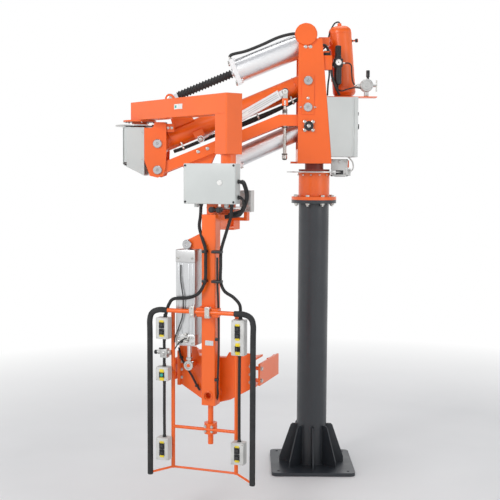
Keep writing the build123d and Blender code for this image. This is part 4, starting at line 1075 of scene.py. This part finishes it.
def box_details():
    lids = bmesh.new()
    screws = bmesh.new()
    legends = bmesh.new()
    bezels = bmesh.new()
    face = -424
    for name, (x, z0, z1) in BOXES.items():
        brick(lids, TOOL, (x - 41, face - 1.2, z0 - 1), (x + 41, face + 12, z1 + 1), 5, 3)
        for dx in (-33, 33):
            for z in (z0 + 8, z1 - 8):
                lathe(screws, tool_face(x + dx, face - 1.2, z), capped(3.6, 0.8, 2.8, 1.5), 14)
    for node in [n for n in NODES if n.startswith("button_")]:
        low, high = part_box(node)
        centre = TOOL.inverted() @ ((Vector(low) + Vector(high)) / 2) / MM
        x, z = centre.x, centre.z
        end = 20 if "mid" in node or "selector" in node else 13
        for side in (-1, 1):
            near = 15.5
            lo, hi = sorted((z + side * near, z + side * (near + end)))
            if side < 0 and "up" in node or side < 0 and "open" in node:
                continue
            if side > 0 and ("down" in node or "close" in node):
                continue
            brick(legends, TOOL, (x - 14, face - 3.4, lo), (x + 14, face - 1.0, hi), 1.0)
        brick(bezels, TOOL, (x - 17, face - 2.4, z - 21), (x + 17, face - 0.8, z + 21), 3)
        lathe(bezels, tool_face(x, face - 0.5, z),
              [(11.2, 0), (15.5, 0), (15.5, 4), (14.2, 5.6), (12, 5.6), (11.2, 4.8)], 36)
        cap = bmesh.new()
        place = tool_face(x, face, z)
        lathe(cap, place, [(0, -12), (10.6, -12), (10.6, 7), (9.8, 8.4), (7.5, 8.2), (0, 7.4)], 36)
        colour, slot_name = GLOSS_BLACK, "button_black"
        if "mid" in node:
            colour, slot_name = GREEN, "button_green"
        if "selector" in node:
            brick(cap, TOOL, (x - 3.6, face - 20, z - 10.2), (x + 3.6, face - 7, z + 10.2), 2.2, 3)
        piece(f"{node}_cap", cap, node, colour, slot_name, replaces=[node])
    piece("box_lids", lids, "tool", GREY_PLASTIC)
    piece("box_lid_screws", screws, "tool", ZINC)
    piece("button_legends", legends, "tool", YELLOW)
    piece("button_bezels", bezels, "tool", BLACK)


def hand_valve():
    bm = bmesh.new()
    x, z = LEFT_BOX_X, 1053
    lathe(bm, along(at(TOOL, x - 46, -380, z), TOOL_RIGHT), [(0, 0), (12, 0), (12, 10), (9, 12), (9, 20),
            (14, 22), (14, 60), (11, 64), (11, 78), (0, 78)], 24)
    brick(bm, TOOL, (x - 22, -402, z - 28), (x + 22, -358, z + 24), 4, 3)
    lathe(bm, tool_face(x, -402, z - 4), [(0, 0), (13, 0), (13, 6), (8, 8), (8, 16), (0, 16)], 24)
    piece("hand_valve_body", bm, "tool", CAST)
    bm = bmesh.new()
    lathe(bm, along(at(TOOL, x - 50, -380, z), -TOOL_RIGHT),
          [(0, 0), (9, 0), (13, 4), (13, 14), (9, 18), (0, 18)], 20)
    brick(bm, TOOL, (x - 30, -404, z + 22), (x + 4, -394, z + 32), 3)
    piece("hand_valve_knob", bm, "tool", BLACK)


def grip_details():
    bm = bmesh.new()
    for side in (-1, 1):
        x = -28 + side * 336
        inside = x - side * 118
        route = [(x, -400, 290), (x, -400, 700), (x, -400, 1150), (x, -400, 1258),
                (x - side * 18, -400, 1302), (x - side * 62, -400, 1320), (inside, -400, 1320)]
        line = smooth_line([at(TOOL, *p) for p in route], 12 * MM)
        tube(bm, line, 17.5, 28)
        lathe(bm, along(at(TOOL, x, -400, 290), -UP), [(17.5, 0), (17.5, 4), (14, 7), (0, 7)], 28)
    piece("foam_grips", bm, "tool", FOAM, replaces=["handle_grips"])


# ---------------------------------------------------------------- tilt cylinder and gripper
def tilt_details():
    x, y = -142, -300
    bm = bmesh.new()
    for z0, z1 in ((1612, 1692), (1101, 1172)):
        brick(bm, TOOL, (x - 65, y - 69, z0), (x + 65, y + 69, z1), 7, 3)
    brick(bm, TOOL, (x - 26, y - 11, 1690), (x + 26, y + 11, 1712), 3)
    piece("tilt_cylinder_caps", bm, "tilt_barrel", CAP_ALU)
    bm = bmesh.new()
    for dx in (-46, -22, 22, 46):
        brick(bm, TOOL, (x + dx - 4, y - 68, 1176), (x + dx + 4, y - 65, 1608), 1)
    for dy in (-40, 0, 40):
        brick(bm, TOOL, (x - 65, y + dy - 4, 1176), (x - 63, y + dy + 4, 1608), 0.8)
    piece("tilt_profile_ribs", bm, "tilt_barrel", ALU_UP)
    bm = bmesh.new()
    for dx in (-48, 48):
        for z in (1640, 1118, 1152):
            socket_screw(bm, tool_face(x + dx, y - 69, z), 9)
    for dx, z in ((-10, 1146), (22, 1150), (6, 1172)):
        place = tool_face(x + dx, y - 69, z)
        hex_head(bm, place, 17, 10)
        lathe(bm, place, [(0, 10), (7, 10), (7, 24), (0, 24)], 18)
    brick(bm, TOOL, (x - 30, y - 92, 1120), (x + 8, y - 70, 1142), 3)
    lathe(bm, along(at(TOOL, x - 40, y - 82, 1131), TOOL_RIGHT), capped(8, 60, 6, 64), 18)
    piece("tilt_cylinder_fittings", bm, "tilt_barrel", ZINC)
    bm = bmesh.new()
    for route in ([(x - 26, y - 76, 1600), (x - 24, y - 80, 1500), (x - 8, y - 82, 1400),
            (x - 10, y - 82, 1300), (x - 34, y - 84, 1220), (x - 60, y - 80, 1160), (x - 66, y - 76, 1120)],
            [(x + 22, y - 90, 1152), (x - 6, y - 98, 1142), (x - 40, y - 94, 1110),
            (x - 62, y - 84, 1080)]):
        hose(bm, TOOL, route, 3.6, 10, 8)
    lathe(bm, tool_face(x - 12, y - 92, 1131), drum(9, 8), 20)
    piece("tilt_air_hoses", bm, "tilt_barrel", RUBBER)
    bm = bmesh.new()
    for y_face, way in ((-340, -TOOL_BACK), (-270, TOOL_BACK)):
        lathe(bm, along(at(TOOL, x, y_face, 1722), way),
              [(0, 0), (29, 0), (29, 4), (26, 7), (12, 7), (10, 5), (0, 5)], 36)
    piece("tilt_pin_ends", bm, "tool", STEEL)
    bm = bmesh.new()
    lathe(bm, tool_face(x, y - 14.5, 968), capped(12, 6, 10, 8), 28)
    piece("rod_eye_stud", bm, "gripper", ORANGE)
    bm = bmesh.new()
    eye = tool_face(x, y - 21, 968)
    lathe(bm, eye, [(18, 0), (30, 0), (31, -2), (31, -12), (29, -14), (18, -14)], 40)
    hex_head(bm, along(at(TOOL, x, y, 1002), UP), 34, 16)
    piece("rod_eye_ring", bm, "tilt_rod", ZINC)


def gripper_details():
    bm = bmesh.new()
    for x in (-215, 215):
        for z in (870, 920, 970):
            bolt(bm, tool_face(x * 1.07, -220, z), 10)
    for z in (930, 905):
        bolt(bm, tool_face(-20, -220, z), 8)
    piece("gripper_bolts", bm, "gripper", ZINC)
    bm = bmesh.new()
    for z in (1012.5, 829.5):
        seam(bm, at(TOOL, -240, -209, z), at(TOOL, 240, -209, z))
    bead(bm, along(at(TOOL, 0, -221, 795), TOOL_BACK), 40, 2.5)
    brick(bm, TOOL, (-255, -232, 820), (-232, -206, 1040), 3)
    piece("gripper_welds", bm, "gripper", ORANGE, sharp=50)
    bm = bmesh.new()
    route = [(-240, -236, 1062), (-228, -240, 1010), (-196, -242, 955), (-150, -244, 890), (-120, -242, 835),
            (-98, -238, 800)]
    hose(bm, TOOL, route, 6.5, 12, 8)
    for x, z in ((-222, 1000), (-116, 828)):
        brick(bm, TOOL, (x - 10, -252, z - 8), (x + 10, -230, z + 8), 4, 3)
    piece("gripper_hose", bm, "gripper", RUBBER)
    bm = bmesh.new()
    for end in (-150, 60):
        lathe(bm, along(at(TOOL, end - 6, -185, 917.5), TOOL_RIGHT), drum(25, 14), 32)
    piece("clamp_cylinder_ends", bm, "gripper", CAP_ALU)
    for name, side in (("left_jaw", -1), ("right_jaw", 1)):
        bm = bmesh.new()
        for i in range(9):
            angle = math.radians(-13 + 26 * i / 8)
            turn = TOOL @ Matrix.Translation((0, 110 * MM,
                    0)) @ Matrix.Rotation(angle if side > 0 else math.pi - angle, 4, "Z")
            brick(bm, turn, (260.5, -7, 862), (267, 7, 973), 1.6)
        piece(f"{name}_rubber", bm, name, RUBBER, "black_rubber")
        bm = bmesh.new()
        for z in (880, 955):
            bolt(bm, along(at(TOOL, side * 288, -185, z), TOOL_RIGHT * side), 14)
        piece(f"{name}_nuts", bm, name, ZINC)


# ---------------------------------------------------------------- studio
FLOOR_FADE = (2.2, 5.5)
WORLD_WHITE = 0.20
WORLD_GREY = 0.45


def studio():
    bpy.ops.mesh.primitive_circle_add(vertices=96, radius=40, fill_type="NGON", location=(0, 0, -0.001))
    floor = bpy.context.object
    floor.name = "floor"
    s = Shader("pale_floor")
    s.link(s.ramp(s.noise(1.5, 3.0), [(0.2, (0.80, 0.80, 0.80)), (0.8, (0.84, 0.84, 0.84))]),
           s.bsdf.inputs["Base Color"])
    s.plain(Roughness=0.7)
    tree = s.tree
    length = tree.nodes.new("ShaderNodeVectorMath")
    length.operation = "LENGTH"
    tree.links.new(s.coords, length.inputs[0])
    distance = tree.nodes.new("ShaderNodeMapRange")
    distance.inputs["From Min"].default_value = FLOOR_FADE[0]
    distance.inputs["From Max"].default_value = FLOOR_FADE[1]
    tree.links.new(length.outputs["Value"], distance.inputs["Value"])
    glow = tree.nodes.new("ShaderNodeEmission")
    glow.inputs["Color"].default_value = (1, 1, 1, 1)
    mix = tree.nodes.new("ShaderNodeMixShader")
    tree.links.new(distance.outputs["Result"], mix.inputs[0])
    tree.links.new(s.bsdf.outputs[0], mix.inputs[1])
    tree.links.new(glow.outputs[0], mix.inputs[2])
    tree.links.new(mix.outputs[0], tree.nodes["Material Output"].inputs["Surface"])
    floor.data.materials.append(s.material)
    world = bpy.data.worlds.new("studio")
    bpy.context.scene.world = world
    world.use_nodes = True
    tree = world.node_tree
    background = tree.nodes["Background"]
    coords = tree.nodes.new("ShaderNodeTexCoord")
    split = tree.nodes.new("ShaderNodeSeparateXYZ")
    ramp = tree.nodes.new("ShaderNodeValToRGB")
    tree.links.new(coords.outputs["Generated"], split.inputs[0])
    tree.links.new(split.outputs["Z"], ramp.inputs[0])
    tree.links.new(ramp.outputs[0], background.inputs["Color"])
    ramp.color_ramp.elements[0].position = WORLD_WHITE
    ramp.color_ramp.elements[0].color = (1, 1, 1, 1)
    ramp.color_ramp.elements[1].position = WORLD_GREY
    ramp.color_ramp.elements[1].color = (0.36, 0.37, 0.39, 1)
    background.inputs["Strength"].default_value = 1.0
    aim = Vector((-0.45, -0.3, 1.7))
    for name, place, size, power in (("key", (-4.0, -5.5, 5.0), 2.4, 190), ("fill", (5.0, -5.0, 3.0),
            3.0, 45), ("top", (0.0, 0.5, 6.5), 3.5, 90), ("back", (1.5, 5.0, 4.5), 3.0, 60)):
        lamp = bpy.data.lights.new(name, "AREA")
        lamp.size = size
        lamp.energy = power
        holder = bpy.data.objects.new(name, lamp)
        holder.location = place
        holder.rotation_euler = (aim - Vector(place)).to_track_quat("-Z", "Y").to_euler()
        bpy.context.scene.collection.objects.link(holder)


CAMERA_PLACE = (-0.463, -7.0, 2.165)
CAMERA_PITCH = 4.645
CAMERA_ROLL = 0.3
CAMERA_LENS = 69.12


def camera():
    data = bpy.data.cameras.new("camera")
    data.lens = CAMERA_LENS
    data.sensor_width = 36
    obj = bpy.data.objects.new("camera", data)
    obj.matrix_world = (Matrix.Translation(CAMERA_PLACE) @ Matrix.Rotation(math.radians(90 - CAMERA_PITCH),
            4, "X") @ Matrix.Rotation(math.radians(CAMERA_ROLL), 4, "Z"))
    bpy.context.scene.collection.objects.link(obj)
    bpy.context.scene.camera = obj
    bpy.context.scene.view_settings.view_transform = "Standard"


camera()
studio()
paint_cad_nodes()
column_details()
head_details()
enclosure_details()
head_services()
brake_calipers()
arm_details()
link_details()
cylinder_details()
wrist_details()
forearm_details()
enclosure_box_details()
mast_details()
conduit_details()
box_details()
hand_valve()
grip_details()
tilt_details()
gripper_details()
